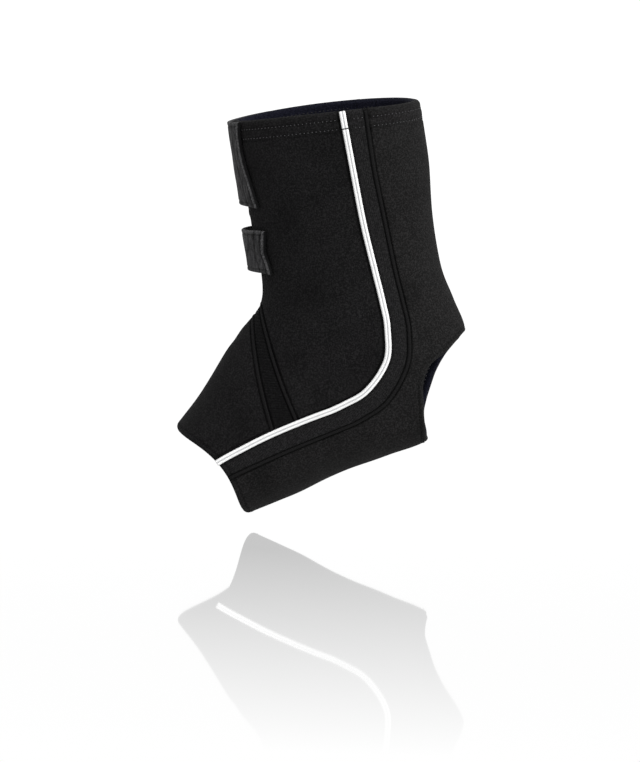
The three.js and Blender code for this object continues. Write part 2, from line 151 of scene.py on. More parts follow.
TABLE_ROWS, TABLE_ANGLES = 600, 120
table_points = face(
    np.linspace(0, TOE_EDGE, TABLE_ROWS + 1)[:, None], np.linspace(0, np.pi, TABLE_ANGLES + 1)
)
down_lengths, round_lengths = lengths_table(table_points, 0), lengths_table(table_points, 1)


def from_front(angle):
    """How far an angle lies from the middle of the front, on either side."""
    return np.abs((angle + np.pi) % (2 * np.pi) - np.pi)


def read_table(table, section, angle):
    """A table's value at any section and angle: straight interpolation both ways."""
    row, place = section / TOE_EDGE * TABLE_ROWS, from_front(angle) / np.pi * TABLE_ANGLES
    i = np.clip(row.astype(int), 0, TABLE_ROWS - 1)
    j = np.clip(place.astype(int), 0, TABLE_ANGLES - 1)
    s, t = row - i, place - j
    upper = table[i, j] * (1 - t) + table[i, j + 1] * t
    lower = table[i + 1, j] * (1 - t) + table[i + 1, j + 1] * t
    return upper * (1 - s) + lower * s


def below_rim(section, angle):
    """Distance from the rim, walked down the face."""
    return read_table(down_lengths, section, angle)


def above_toe(section, angle):
    """Distance from the toe edge, walked up the face."""
    return below_rim(np.full_like(section, TOE_EDGE), angle) - below_rim(section, angle)


HALVINGS = 30


def halved(low, high, too_low):
    """Where a test changes from true to false between two arrays: the gap is halved again and again."""
    for _ in range(HALVINGS):
        middle = 0.5 * (low + high)
        below = too_low(middle)
        low, high = np.where(below, middle, low), np.where(below, high, middle)
    return 0.5 * (low + high)


def section_below_rim(distance, angle):
    """Section number at a distance from the rim."""
    angle = np.asarray(angle, float)
    bottom, top = np.zeros_like(angle), np.full_like(angle, TOE_EDGE)
    return halved(bottom, top, lambda at: below_rim(at, angle) < distance)


def angle_of(share):
    """Angle at a share of the way from the front to the back."""
    return np.arccos(np.clip(1 - 2 * share, -1, 1))


def round_speed(section, angle):
    """How far the face moves per radian round the ring."""
    step = face(section, angle + SMALL_STEP) - face(section, angle)
    return np.linalg.norm(step, axis=-1) / SMALL_STEP


def line_angle(name, section, shift=0.0):
    """Angle of a sewn line, moved round the ring by a distance."""
    angle = angle_of(column(name, section))
    return angle + shift / round_speed(section, angle)


def beside_line(name, section, angle):
    """Distance of a point behind a sewn line, measured round the ring."""
    line = line_angle(name, section)
    return (from_front(angle) - line) * round_speed(section, line)


def gusset_angle(section, top, foot, shift):
    """Angle at which a section crosses an edge of the gusset.

    From the side that edge is a straight line, from the front point of the top section to the
    piping at the foot section. The shift moves it away from the gusset.
    """
    front_top, _ = middle_points(np.array(float(top)))
    foot_front, foot_back = middle_points(np.array(float(foot)))
    end = foot_front + (foot_back - foot_front) * column("piping", foot)
    across = unit(np.array([front_top[1] - end[1], end[0] - front_top[0]]))
    front, back = middle_points(section)
    share = -((front - front_top - across * shift) @ across) / ((back - front) @ across)
    return angle_of(np.maximum(share, 0))


FINE_STEPS = 4001


def spaced(start, end, count, close):
    """Values from start to end, closer together near each (place, how much, how wide)."""
    fine = np.linspace(start, end, FINE_STEPS)
    density = 1 + sum(much * np.exp(-np.abs(fine - place) / wide) for place, much, wide in close)
    walked = np.cumsum(density)
    walked = (walked - walked[0]) / (walked[-1] - walked[0])
    return np.interp(np.linspace(0, 1, count), walked, fine)


def rounded(gap, radius):
    """How far a face drops near an edge: a quarter circle of that radius."""
    inside = np.clip(radius - gap, 0, radius)
    return radius - np.sqrt(np.maximum(radius**2 - inside**2, 0))


def bell(distance, half):
    """A bell curve: 1 in its middle, and a little over a third at the distance half."""
    return np.exp(-((distance / half) ** 2))


def ditch(gap, place, depth, half):
    """A groove: a bell curve of that depth, at a distance from an edge or line."""
    return -depth * bell(gap - place, half)


def edge_gap(points, along):
    """Distance of each grid point from the grid's first row, at right angles to that row."""
    chord = points - points[0]
    return np.linalg.norm(chord - (chord * along).sum(-1, keepdims=True) * along, axis=-1)


def four_gaps(points):
    """Distances from the first row, the last row, the first column and the last column."""
    turned = points.transpose(1, 0, 2)
    top, bottom, left, right = (
        edge_gap(grid, unit(np.gradient(grid[0], axis=0)))
        for grid in (points, points[::-1], turned, turned[::-1])
    )
    return top, bottom[::-1], left.T, right[::-1].T


def grid_quads(count_rows, count_columns, first=0):
    """Corner numbers of the squares of a grid of points."""
    number = first + np.arange(count_rows * count_columns).reshape(count_rows, count_columns)
    corners = number[:-1, :-1], number[:-1, 1:], number[1:, 1:], number[1:, :-1]
    return np.stack(corners, -1).reshape(-1, 4)


def rim_of_grid(rows, columns):
    """Corner numbers round the border of a grid, as one closed loop."""
    number = np.arange(rows * columns).reshape(rows, columns)
    return np.concatenate([number[0, :-1], number[:-1, -1], number[-1, :0:-1], number[:0:-1, 0]])


def strip_quads(ring, count):
    """Squares between a loop of outer points and the same loop of the inner points."""
    following = np.roll(ring, -1)
    return np.stack([following, ring, ring + count, following + count], -1)


def make_piece(name, points, quads, kinds, materials, cloth, facts):
    """A mesh of squares, smooth shaded, with its cloth map in millimetres and named facts.

    If the signed volume is negative, all the squares are turned round, so that they face out.
    """
    corners = points[quads]
    first = np.cross(corners[:, 1] - corners[:, 0], corners[:, 2] - corners[:, 0])
    second = np.cross(corners[:, 2] - corners[:, 0], corners[:, 3] - corners[:, 0])
    if (corners[:, 0] * (first + second)).sum() < 0:
        quads = quads[:, ::-1]
    quads = np.ascontiguousarray(quads, np.int32)
    mesh = bpy.data.meshes.new(name)
    mesh.vertices.add(len(points))
    mesh.vertices.foreach_set("co", points.astype(np.float32).ravel())
    mesh.loops.add(quads.size)
    mesh.loops.foreach_set("vertex_index", quads.ravel())
    mesh.polygons.add(len(quads))
    mesh.polygons.foreach_set("loop_start", np.arange(0, quads.size, 4, dtype=np.int32))
    mesh.update(calc_edges=True)
    mesh.polygons.foreach_set("use_smooth", np.ones(len(quads), bool))
    mesh.polygons.foreach_set("material_index", np.asarray(kinds, np.int32))
    layer = mesh.uv_layers.new(name="cloth")
    layer.data.foreach_set("uv", (cloth[quads.ravel()] / MM).astype(np.float32).ravel())
    for fact, values in facts.items():
        attribute = mesh.attributes.new(fact, "FLOAT", "POINT")
        attribute.data.foreach_set("value", values.astype(np.float32).ravel())
    for material in materials:
        mesh.materials.append(material)
    mesh.validate()
    piece = bpy.data.objects.new(name, mesh)
    bpy.context.collection.objects.link(piece)
    return piece


def closed_grid(name, outer, inner, materials, cloth, groove, fold=None):
    """One closed piece between a grid of outer points and a grid of inner points.

    Its material reads the fact groove, painted shade which darkens it, and the fact fold, a painted
    highlight which makes it paler.
    Without a fold only the outer face has the groove, and with one both faces have both.
    """
    rows, columns = outer.shape[:2]
    count = rows * columns
    faces = grid_quads(rows, columns)
    strip = strip_quads(rim_of_grid(rows, columns), count)
    quads = np.concatenate([faces, faces[:, ::-1] + count, strip])
    kinds = np.repeat([0, 1, 0], [len(faces), len(faces), len(strip)])
    points = np.concatenate([outer.reshape(-1, 3), inner.reshape(-1, 3)])
    maps = np.tile(cloth.reshape(-1, 2), (2, 1))
    facts = {"groove": np.concatenate([groove.ravel(), np.zeros(count)])}
    if fold is not None:
        facts = {"groove": np.tile(groove.ravel(), 2), "fold": np.tile(fold.ravel(), 2)}
    return make_piece(name, points, quads, kinds, materials, maps, facts)


HEM_TAPER = 0.4  # the share of the hem's depth over which it thins out
HEM_ROWS = (4.75 * MM, 10.0 * MM)
ROW_PULL = (0.22 * MM, 0.75 * MM)  # depth and half width of the hollow along a row
# Place, depth and half width of each line on the cloth
HEM_SWELL = (7.4 * MM, -0.12 * MM, 1.6 * MM)
HEM_FOLD = (11.6 * MM, 0.3 * MM, 0.4 * MM)
TOE_ROW = (3.2 * MM, 0.28 * MM, 0.6 * MM)
HOLLOW_DEPTH = 0.16 * MM
LONG_WAVES = (8.3, 19, 11.7, 25)  # millimetres in which each wave turns by a radian
SHORT_WAVES = (6.1, 14, 5.3, 17)
FREE_SHARE = 0.47  # a free edge is rounded by this share of the wall on both faces
SEWN_OUTER, SEWN_INNER = 0.9 * MM, 0.4 * MM
# Painted shade is darkest in a groove as deep as this
GROOVE_DEPTH = 0.5 * MM  # a groove as deep as this is as dark as one gets


def wall_at(section, angle):
    """Wall thickness: foam and two knits, thicker where the hem is turned in."""
    share = np.clip(below_rim(section, angle) / HEM_DEPTH, 0, 1)
    ease = np.clip((share - 1 + HEM_TAPER) / HEM_TAPER, 0, 1)
    return WALL + HEM_EXTRA * (1 - ease**2 * (3 - 2 * ease))


def hem_relief(section, angle):
    """The hem's face: the stitch rows pull it in, it swells between them and ends in a fold."""
    gap = below_rim(section, angle)
    rows = sum(ditch(gap, place, *ROW_PULL) for place in HEM_ROWS)
    return rows + ditch(gap, *HEM_SWELL) + ditch(gap, *HEM_FOLD)


def toe_relief(section, angle):
    """The toe edge is held by one row of stitches, which pulls the face in."""
    return ditch(above_toe(section, angle), *TOE_ROW)


def soft_relief(points):
    """Slight hollows and swells of the foam: two long waves crossed, and two short ones half as deep."""
    x, y, z = np.moveaxis(points / MM, -1, 0)
    a, b, c, d = LONG_WAVES
    slow = np.sin(x / a + 1.1 * np.sin(z / b)) * np.sin(z / c + y / d)
    a, b, c, d = SHORT_WAVES
    short = np.sin(z / a + x / b + 0.7) * np.sin(x / c - z / d)
    return HOLLOW_DEPTH * (slow + 0.5 * short)


def foam_panel(name, section, angle, edges, relief, materials):
    """A wall of foam between the outer face and an inner one.

    Its faces drop as quarter circles at the edges, wide on a free edge and small on a sewn one.
    """
    ground, out = face(section, angle), outward(section, angle)
    wall = wall_at(section, angle)
    outer_drop, inner_drop = np.zeros_like(wall), np.zeros_like(wall)
    for gap, edge in zip(four_gaps(ground), edges):
        free = edge == "free"
        outer_drop = np.maximum(outer_drop, rounded(gap, FREE_SHARE * wall if free else SEWN_OUTER))
        inner_drop = np.maximum(inner_drop, rounded(gap, FREE_SHARE * wall if free else SEWN_INNER))
    outer = ground + out * (relief - outer_drop)[..., None]
    inner = ground - out * (wall - inner_drop)[..., None]
    around = read_table(round_lengths, section, angle) * np.sign(angle)
    cloth = np.stack([around, below_rim(section, angle)], -1)
    # Painted shade: darker wherever the face dips, in grooves, rows of stitches and hollows
    groove = np.clip(-relief / GROOVE_DEPTH, 0, 1)
    return closed_grid(name, outer, inner, materials, cloth, groove)


class Number:
    """The number on a socket. Arithmetic on it adds Math nodes."""

    def __init__(self, finish, socket):
        self.finish = finish
        self.socket = socket

    def __add__(self, other):
        return self.finish.math("ADD", self, other)

    def __radd__(self, other):
        return self.finish.math("ADD", other, self)

    def __sub__(self, other):
        return self.finish.math("SUBTRACT", self, other)

    def __rsub__(self, other):
        return self.finish.math("SUBTRACT", other, self)

    def __mul__(self, other):
        return self.finish.math("MULTIPLY", self, other)

    def __rmul__(self, other):
        return self.finish.math("MULTIPLY", other, self)

    def __truediv__(self, other):
        return self.finish.math("DIVIDE", self, other)

    def __pow__(self, other):
        return self.finish.math("POWER", self, other)


class Finish:
    """A material with one Principled shader, and the nodes that feed it."""

    def __init__(self, name, constants):
        self.material = bpy.data.materials.new(name)
        self.material.use_nodes = True
        self.tree = self.material.node_tree
        self.shader = self.tree.nodes["Principled BSDF"]
        for socket, value in constants.items():
            self.shader.inputs[socket].default_value = value

    def feed(self, socket, value):
        """Links a socket to a number, or sets it."""
        if isinstance(value, Number):
            self.tree.links.new(value.socket, socket)
        else:
            socket.default_value = value

    def node(self, kind, settings, inputs, output=0):
        """Adds a node: its settings first, then the value or link of each socket."""
        made = self.tree.nodes.new(kind)
        for name, value in settings.items():
            setattr(made, name, value)
        for name, value in inputs.items():
            self.feed(made.inputs[name], value)
        return Number(self, made.outputs[output])

    def math(self, operation, *values):
        """A Math node on numbers."""
        return self.node("ShaderNodeMath", {"operation": operation}, dict(enumerate(values)))

    def mix(self, share, first, second):
        """A colour between two, by a share."""
        settings = {"data_type": "RGBA", "clamp_factor": True}
        return self.node("ShaderNodeMix", settings, {0: share, 6: first, 7: second}, 2)

    def cloth(self):
        """Millimetres round the sleeve and down it, from the piece's own map."""
        place = self.node("ShaderNodeUVMap", {"uv_map": "cloth"}, {})
        parts = {"Vector": place}
        across = self.node("ShaderNodeSeparateXYZ", {}, parts)
        return across, self.node("ShaderNodeSeparateXYZ", {}, parts, 1)

    def fact(self, name):
        """A number stored on the mesh's points."""
        return self.node("ShaderNodeAttribute", {"attribute_name": name}, {}, 2)

    def noise(self, size, detail, stretch=(1, 1, 1)):
        """Noise whose grains are about as large as the size, on Object coordinates."""
        place = self.node("ShaderNodeTexCoord", {}, {}, 3)
        place = self.node("ShaderNodeMapping", {}, {"Vector": place, "Scale": stretch})
        inputs = {"Vector": place, "Scale": 1 / size, "Detail": detail}
        return self.node("ShaderNodeTexNoise", {}, inputs)

    def grain(self, value, low, high):
        """A number stretched so that low becomes 0 and high becomes 1."""
        inputs = {"Value": value, "From Min": low, "From Max": high}
        return self.node("ShaderNodeMapRange", {"clamp": True}, inputs)

    def surface(self, colour, roughness, relief, depth):
        """Feeds the shader's colour and roughness, and its normal through a bump of that depth."""
        self.feed(self.shader.inputs["Base Color"], colour)
        self.feed(self.shader.inputs["Roughness"], roughness)
        bump = self.node("ShaderNodeBump", {}, {"Height": relief, "Distance": depth, "Strength": 1.0})
        self.feed(self.shader.inputs["Normal"], bump)
        return self.material


WALE, COURSE = 0.62, 0.46  # width and height of a knitted loop, in millimetres
SPECK, CLOUD = 0.9 * MM, 14 * MM
KNIT_SHEEN = {"Specular IOR Level": 0.05, "Sheen Weight": 0.01, "Sheen Roughness": 0.5}
# How strong and how dark the painted shade in the knits' grooves gets
GROOVE_SHADE, GROOVE_DARK = 0.8, 0.25
SPECK_WINDOW, CLOUD_WINDOW = (0.42, 0.68), (0.3, 0.7)
SPECK_SHARE, CLOUD_SHARE, LOOP_SHARE = 0.55, 0.08, 0.12  # of the light yarn's colour
KNIT_ROUGH, SPECK_SMOOTH = 0.95, 0.12
LOOP_HEIGHT, JERSEY_DEPTH = 0.6, 0.09 * MM
TURN = 2 * np.pi


def wave(finish, place, pitch):
    """A number that swings between 0 and 1 along a place: half a sine of that pitch, plus a half."""
    return finish.math("SINE", place * (TURN / pitch)) * 0.5 + 0.5


def speckled(finish):
    """Small pale specks of the heather yarn."""
    return finish.grain(finish.noise(SPECK, 2.0), *SPECK_WINDOW)


def knit_colour(finish, share, dark, light):
    """Between the dark and the light yarn by a share, with painted shade near to black in the grooves.
    """
    colour = finish.mix(share, (*dark, 1), (*light, 1))
    # Painted shade: the groove fact darkens the colour where the face dips
    shade = finish.grain(finish.fact("groove"), 0.0, 1.0)
    return finish.mix(shade * GROOVE_SHADE, colour, (*(GROOVE_DARK * v for v in dark), 1))


def jersey(name, dark, light):
    """Plain jersey: columns of small V-shaped loops, with a heather of paler specks.

    A loop's height is a sine down the column, set back by how far it is from the column's middle.
    """
    finish = Finish(name, KNIT_SHEEN)
    across, down = finish.cloth()
    beside = finish.math("ABSOLUTE", finish.math("FRACT", across / WALE) - 0.5) * 2
    loop = wave(finish, down + beside * (0.5 * COURSE), COURSE) * (1 - beside**2)
    specks = speckled(finish)
    clouds = finish.grain(finish.noise(CLOUD, 2.0), *CLOUD_WINDOW)
    share = specks * SPECK_SHARE + clouds * CLOUD_SHARE + loop * LOOP_SHARE
    colour = knit_colour(finish, share, dark, light)
    relief = loop * LOOP_HEIGHT + specks
    return finish.surface(colour, KNIT_ROUGH - specks * SPECK_SMOOTH, relief, JERSEY_DEPTH)


SHIN_DARK, SHIN_LIGHT = (0.0032, 0.0031, 0.0033), (0.0168, 0.0163, 0.0168)
NAVY_DARK, NAVY_LIGHT = (0.0028, 0.0030, 0.0060), (0.012, 0.0125, 0.022)
shin_knit = jersey("black_jersey_front", SHIN_DARK, SHIN_LIGHT)
lining_knit = jersey("navy_jersey_lining", NAVY_DARK, NAVY_LIGHT)

PANEL_ROWS, PANEL_COLUMNS = 190, 105
UPPER_SHARE = 0.58  # the share of the rows that lies above the gusset
POINT_CUT = 0.12  # the sharp lower corner ends this many sections short
POINT_EASE = 1.7  # the rows lie closer together below the gusset's top by this power
# The dark line is a real groove with painted shade in it
TAPE_DITCH = 2.75 * MM  # the tape's edge presses a dark line into the cloth in front of it
TAPE_PRESS = (0.55 * MM, 0.5 * MM)
GUSSET_DITCH = (1.25 * MM, 0.62 * MM, 0.52 * MM)
SLIT_HEM_ROWS = (3.0 * MM, 6.0 * MM)
SLIT_HEM_PULL = (0.45 * MM, 0.5 * MM)
SLIT_HEM_AT, SLIT_HEM_REACH = 4.2, 0.7  # the section where the slit's hem shows most, and how far
FOLD_AT, FOLD_REACH, FOLD_ROUND = 1.95, 0.28, 0.5  # small folds between the tabs
FOLD_DEPTH, FOLD_TURNS = 0.2 * MM, (26, 6)
side_share = spaced(0, 1, PANEL_COLUMNS, [(0, 8, 0.04), (1, 9, 0.05)])
upper_rows = spaced(0, GUSSET_TOP, int(PANEL_ROWS * UPPER_SHARE), [(0, 9, 0.09), (0.45, 2, 0.12)])
lower_share = spaced(0, 1, PANEL_ROWS - len(upper_rows) + 1, [(1, 4, 0.03)])[1:]
lower_rows = GUSSET_TOP + (GUSSET_TOP_FOOT - POINT_CUT - GUSSET_TOP) * lower_share**POINT_EASE
side_sections = np.concatenate([upper_rows, lower_rows])
slit_edge = SLIT_WIDTH / 2 / round_speed(side_sections, np.zeros_like(side_sections))
gusset_edge = gusset_angle(side_sections, GUSSET_TOP, GUSSET_TOP_FOOT, SEAM_GAP)
side_front = np.where(side_sections < GUSSET_TOP, slit_edge, np.maximum(slit_edge, gusset_edge))
side_back = line_angle("piping", side_sections, -SEAM_GAP / 2)
side_angle = side_front[:, None] + (side_back - side_front)[:, None] * side_share
side_section = np.repeat(side_sections[:, None], PANEL_COLUMNS, 1)

for name, sign in (("left", -1), ("right", 1)):
    points = face(side_section, sign * side_angle)
    behind = beside_line("piping", side_section, side_angle)
    relief = hem_relief(side_section, side_angle) + soft_relief(points)
    relief += ditch(behind, -TAPE_DITCH, *TAPE_PRESS)
    edge = four_gaps(points)[2]
    relief += np.where(side_section > GUSSET_TOP, ditch(edge, *GUSSET_DITCH), 0)
    front_fold = bell(side_section - FOLD_AT, FOLD_REACH) * bell(side_angle, FOLD_ROUND)
    turns = side_section * FOLD_TURNS[0] + side_angle * FOLD_TURNS[1]
    relief += FOLD_DEPTH * front_fold * np.sin(turns)
    stitched = bell(side_section - SLIT_HEM_AT, SLIT_HEM_REACH)
    relief += stitched * sum(ditch(edge, place, *SLIT_HEM_PULL) for place in SLIT_HEM_ROWS)
    piece = foam_panel(
        f"side_panel_cloth_{name}", side_section, sign * side_angle,
        ("free", "sewn", "free", "sewn"), relief, (shin_knit, lining_knit),
    )
    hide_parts(f"side_panel_{name}")
    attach(piece, "root")

# Instep panel
# One piece of the same neoprene over the top of the foot, from the gusset to the toe edge and round
# to both white tapes. Its toe edge is cut clean and held by one row of stitches.
FRONT_CUT = 0.09  # the panel starts this many sections below the gusset's tip
INSTEP_PRESS = (0.5 * MM, 0.5 * MM)
INSTEP_ROWS, INSTEP_COLUMNS = 130, 160
TIP_EASE = 1.5  # the rows lie closer together near the tip by this power
instep_share = spaced(-1, 1, INSTEP_COLUMNS, [(-1, 8, 0.06), (1, 8, 0.06)])
instep_ease = spaced(0, 1, INSTEP_ROWS, [(1, 8, 0.03)])
instep_top = GUSSET_BOTTOM + FRONT_CUT
instep_sections = instep_top + (TOE_EDGE - instep_top) * instep_ease**TIP_EASE
instep_edge = line_angle("piping", instep_sections, -SEAM_GAP / 2)
along_gusset = gusset_angle(instep_sections, GUSSET_BOTTOM, GUSSET_BOTTOM_FOOT, -SEAM_GAP)
along_gusset = np.minimum(along_gusset, instep_edge)
instep_edge = np.where(instep_sections < GUSSET_BOTTOM_FOOT, along_gusset, instep_edge)
instep_section = np.repeat(instep_sections[:, None], INSTEP_COLUMNS, 1)
instep_angle = instep_edge[:, None] * instep_share
points = face(instep_section, instep_angle)
relief = toe_relief(instep_section, instep_angle) + soft_relief(points)
on_tape = instep_section > GUSSET_BOTTOM_FOOT
for gap in four_gaps(points)[2:]:
    beside_tape = ditch(gap, TAPE_DITCH, *INSTEP_PRESS)
    relief += np.where(on_tape, beside_tape, ditch(gap, *GUSSET_DITCH))
piece = foam_panel(
    "instep_panel_cloth", instep_section, instep_angle, ("sewn", "free", "sewn", "sewn"), relief,
    (shin_knit, lining_knit),
)
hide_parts("instep_panel")
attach(piece, "root")

# Stripes
# A band of finely ribbed knit over the same foam, between the white tape and the double seam. Its
# ribs run along the band, and it is sewn edge to edge with its neighbours.
STRIPE_ROWS, STRIPE_COLUMNS = 320, 48
STRIPE_RIB = 1.1  # millimetres from rib to rib
STRIPE_HEM = 0.5  # the hem shows half as deep on the stretchy band
STRIPE_PRESS = (2.45 * MM, 0.25 * MM, 0.45 * MM)
SEAM_DITCH = 1.2 * MM  # how far the two grooves of a covered seam lie from its middle
SEAM_PRESS = (0.62 * MM, 0.5 * MM)
RIB_SHARE, RIB_LOOP_SHARE = 0.14, 0.1
RIB_SMOOTH = 0.1
RIB_HEIGHTS, RIB_DEPTH = (0.9, 0.4, 0.7), 0.1 * MM  # of rib, loop and speck


def ribbed(name, dark, light, pitch, along_band):
    """Ribbed knit: rounded ribs at that pitch, along the sleeve or round it, and fine loops on them."""
    finish = Finish(name, KNIT_SHEEN)
    across, down = finish.cloth()
    ribs_at, loops_at = (across, down) if along_band else (down, across)
    rib, loop = wave(finish, ribs_at, pitch), wave(finish, loops_at, COURSE)
    specks = speckled(finish)
    share = rib * RIB_SHARE + specks * SPECK_SHARE + loop * RIB_LOOP_SHARE
    colour = knit_colour(finish, share, dark, light)
    relief = rib * RIB_HEIGHTS[0] + loop * RIB_HEIGHTS[1] + specks * RIB_HEIGHTS[2]
    return finish.surface(colour, KNIT_ROUGH - rib * RIB_SMOOTH, relief, RIB_DEPTH)


STRIPE_DARK, STRIPE_LIGHT = (0.0040, 0.0039, 0.0041), (0.0200, 0.0195, 0.0200)
stripe_knit = ribbed("black_rib_stripe", STRIPE_DARK, STRIPE_LIGHT, STRIPE_RIB, True)
stripe_sections = spaced(0, TOE_EDGE, STRIPE_ROWS, [(0, 6, 0.09), (TOE_EDGE, 6, 0.09), (0.45, 2, 0.12)])
stripe_share = spaced(0, 1, STRIPE_COLUMNS, [(0, 3, 0.12), (1, 4, 0.14)])
stripe_front = line_angle("piping", stripe_sections, SEAM_GAP / 2)
stripe_back = line_angle("seam", stripe_sections, -SEAM_GAP / 2)
stripe_angle = stripe_front[:, None] + (stripe_back - stripe_front)[:, None] * stripe_share
stripe_section = np.repeat(stripe_sections[:, None], STRIPE_COLUMNS, 1)
relief = hem_relief(stripe_section, stripe_angle) * STRIPE_HEM
relief += toe_relief(stripe_section, stripe_angle)
relief += ditch(beside_line("piping", stripe_section, stripe_angle), *STRIPE_PRESS)
relief += ditch(beside_line("seam", stripe_section, stripe_angle), -SEAM_DITCH, *SEAM_PRESS)
for name, sign in (("left", -1), ("right", 1)):
    piece = foam_panel(
        f"stripe_cloth_{name}", stripe_section, sign * stripe_angle,
        ("free", "free", "sewn", "sewn"), relief, (stripe_knit, lining_knit),
    )
    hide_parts(f"stripe_{name}")
    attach(piece, "root")

# Ankle gusset
# A wedge of ribbed elastic across the bend of the ankle, from one white tape to the other. Its ribs
# run round the foot, so that it stretches when the foot moves.
GUSSET_STEPS, GUSSET_ACROSS = 320, 40
GUSSET_RIB = 2.2  # millimetres from rib to rib
GUSSET_RIB_HEIGHT = 0.05 * MM
GUSSET_DARK, GUSSET_LIGHT = (0.0014, 0.0014, 0.0015), (0.0080, 0.0078, 0.0080)
gusset_knit = ribbed("black_rib_gusset", GUSSET_DARK, GUSSET_LIGHT, GUSSET_RIB, False)
along = np.linspace(-1, 1, GUSSET_STEPS)
upper_foot = line_angle("piping", np.array(GUSSET_TOP_FOOT), -SEAM_GAP)
lower_foot = line_angle("piping", np.array(GUSSET_BOTTOM_FOOT), -SEAM_GAP)


def gusset_section(angle, top, foot):
    """Section number at which an edge of the gusset crosses an angle."""
    low, high = np.full_like(angle, top), np.full_like(angle, foot)
    return halved(low, high, lambda at: gusset_angle(at, top, foot, 0.0) < np.abs(angle))


gusset_upper_angle, gusset_lower_angle = along * upper_foot, along * lower_foot
gusset_upper = gusset_section(gusset_upper_angle, GUSSET_TOP, GUSSET_TOP_FOOT)
gusset_lower = gusset_section(gusset_lower_angle, GUSSET_BOTTOM, GUSSET_BOTTOM_FOOT)
gusset_share = spaced(0, 1, GUSSET_ACROSS, [(0, 4, 0.08), (1, 4, 0.08)])
section = gusset_upper[:, None] + (gusset_lower - gusset_upper)[:, None] * gusset_share
angle_across = (gusset_lower_angle - gusset_upper_angle)[:, None]
angle = gusset_upper_angle[:, None] + angle_across * gusset_share
relief = sum(ditch(gap, *GUSSET_DITCH) for gap in four_gaps(face(section, angle))[2:])
relief += GUSSET_RIB_HEIGHT * np.sin(below_rim(section, angle) / (GUSSET_RIB * MM) * TURN)
piece = foam_panel(
    "ankle_gusset_cloth", section, angle, ("sewn",) * 4, relief, (gusset_knit, lining_knit)
)
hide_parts("ankle_gusset")
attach(piece, "root")

# Back panel
# One piece of neoprene for calf, heel and sole, faced with black jersey painted paler than the front's
# as painted light.
# The heel opening is cut through it, and its edge, the rim and the toe edge are held by rows of
# stitches.

# Each row: section, and the share of its way to the back where the opening's edge lies, on the
# wearer's left and on the right
HEEL_OPENING = np.array([
    (4.85, 1.03, 1.03), (5.2, 0.959, 0.963), (5.5, 0.913, 0.921), (5.8, 0.862, 0.888),
    (6.1, 0.845, 0.867), (6.4, 0.847, 0.855), (6.8, 0.878, 0.856), (7.1, 0.905, 0.867),
    (7.4, 0.938, 0.889), (7.7, 0.972, 0.932), (8.1, 1.03, 1.03),
])
HOLE_TOP, HOLE_BOTTOM = 4.99, 7.97  # the sections at which the opening meets the back's middle
HOLE_ROW = (3.2 * MM, 0.25 * MM, 0.6 * MM)  # the row of stitches round the opening
CURVE_STEPS = 60
RIM_STEPS, SEAM_STEPS, TOE_STEPS = 50, 112, 48
BACK_ROWS = 100
# Painted light: the back's jersey is painted paler than the front's
HEEL_PAINTED_PALE_DARK, HEEL_PAINTED_PALE_LIGHT = (0.0041, 0.0040, 0.0040), (0.0208, 0.0201, 0.0203)


def through(points, count):
    """A Catmull-Rom curve through points in a plane, with that many steps from one to the next."""
    ends = [2 * points[0] - points[1]], points, [2 * points[-1] - points[-2]]
    four = (np.concatenate(ends)[k:k + len(points) - 1, None] for k in range(4))
    share = np.linspace(0, 1, count, endpoint=False)[:, None]
    return catmull_rom(*four, share).reshape(-1, 2)


def half_back(section):
    """Angle from the middle of the back to a seam."""
    return np.pi - line_angle("seam", section, SEAM_GAP / 2)


def back_angle(section, wide):
    """Angle at a share of the way from the middle of the back (0) to the left (1) or right seam (-1)."""
    return np.pi + wide * half_back(section)


def hole_side(column_number, sign):
    """One side of the opening's edge from its top to its bottom, as sections and places across.

    The curve through the table's rows is cut where it reaches the back's middle, and its points
    are set an equal walk apart, as many as the panel's border has on that side.
    """
    edge = through(HEEL_OPENING[:, [0, column_number]], CURVE_STEPS)
    edge = edge[edge[:, 1] < 1]
    half = np.pi - angle_of(edge[:, 1])
    half[[0, -1]] = 0
    edge[[0, -1], 0] = HOLE_TOP, HOLE_BOTTOM
    side = np.stack([edge[:, 0], sign * half / half_back(edge[:, 0])], -1)
    walked = lengths_table(face(side[:, 0], back_angle(side[:, 0], side[:, 1])), 0)
    at = np.linspace(0, walked[-1], RIM_STEPS + SEAM_STEPS + TOE_STEPS + 1)
    return np.stack([np.interp(at, walked, side[:, k]) for k in range(2)], -1)


hole = np.concatenate([hole_side(1, 1)[:-1], hole_side(2, -1)[:0:-1]])
seam_walk = spaced(0, TOE_EDGE, SEAM_STEPS + 1, [(0, 3, 0.2), (TOE_EDGE, 3, 0.2)])[:-1]
left_border = np.concatenate([
    np.stack([np.zeros(RIM_STEPS), np.linspace(0, 1, RIM_STEPS, endpoint=False)], -1),
    np.stack([seam_walk, np.ones(SEAM_STEPS)], -1),
    np.stack([np.full(TOE_STEPS + 1, float(TOE_EDGE)), np.linspace(1, 0, TOE_STEPS + 1)], -1),
])
border = np.concatenate([left_border, left_border[-2:0:-1] * (1, -1)])
reach = spaced(0, 1, BACK_ROWS, [(0, 6, 0.03), (1, 5, 0.09)])[:, None, None]
spread = hole + (border - hole) * reach
section, angle = spread[..., 0], back_angle(spread[..., 0], spread[..., 1])
ground, out = face(section, angle), outward(section, angle)

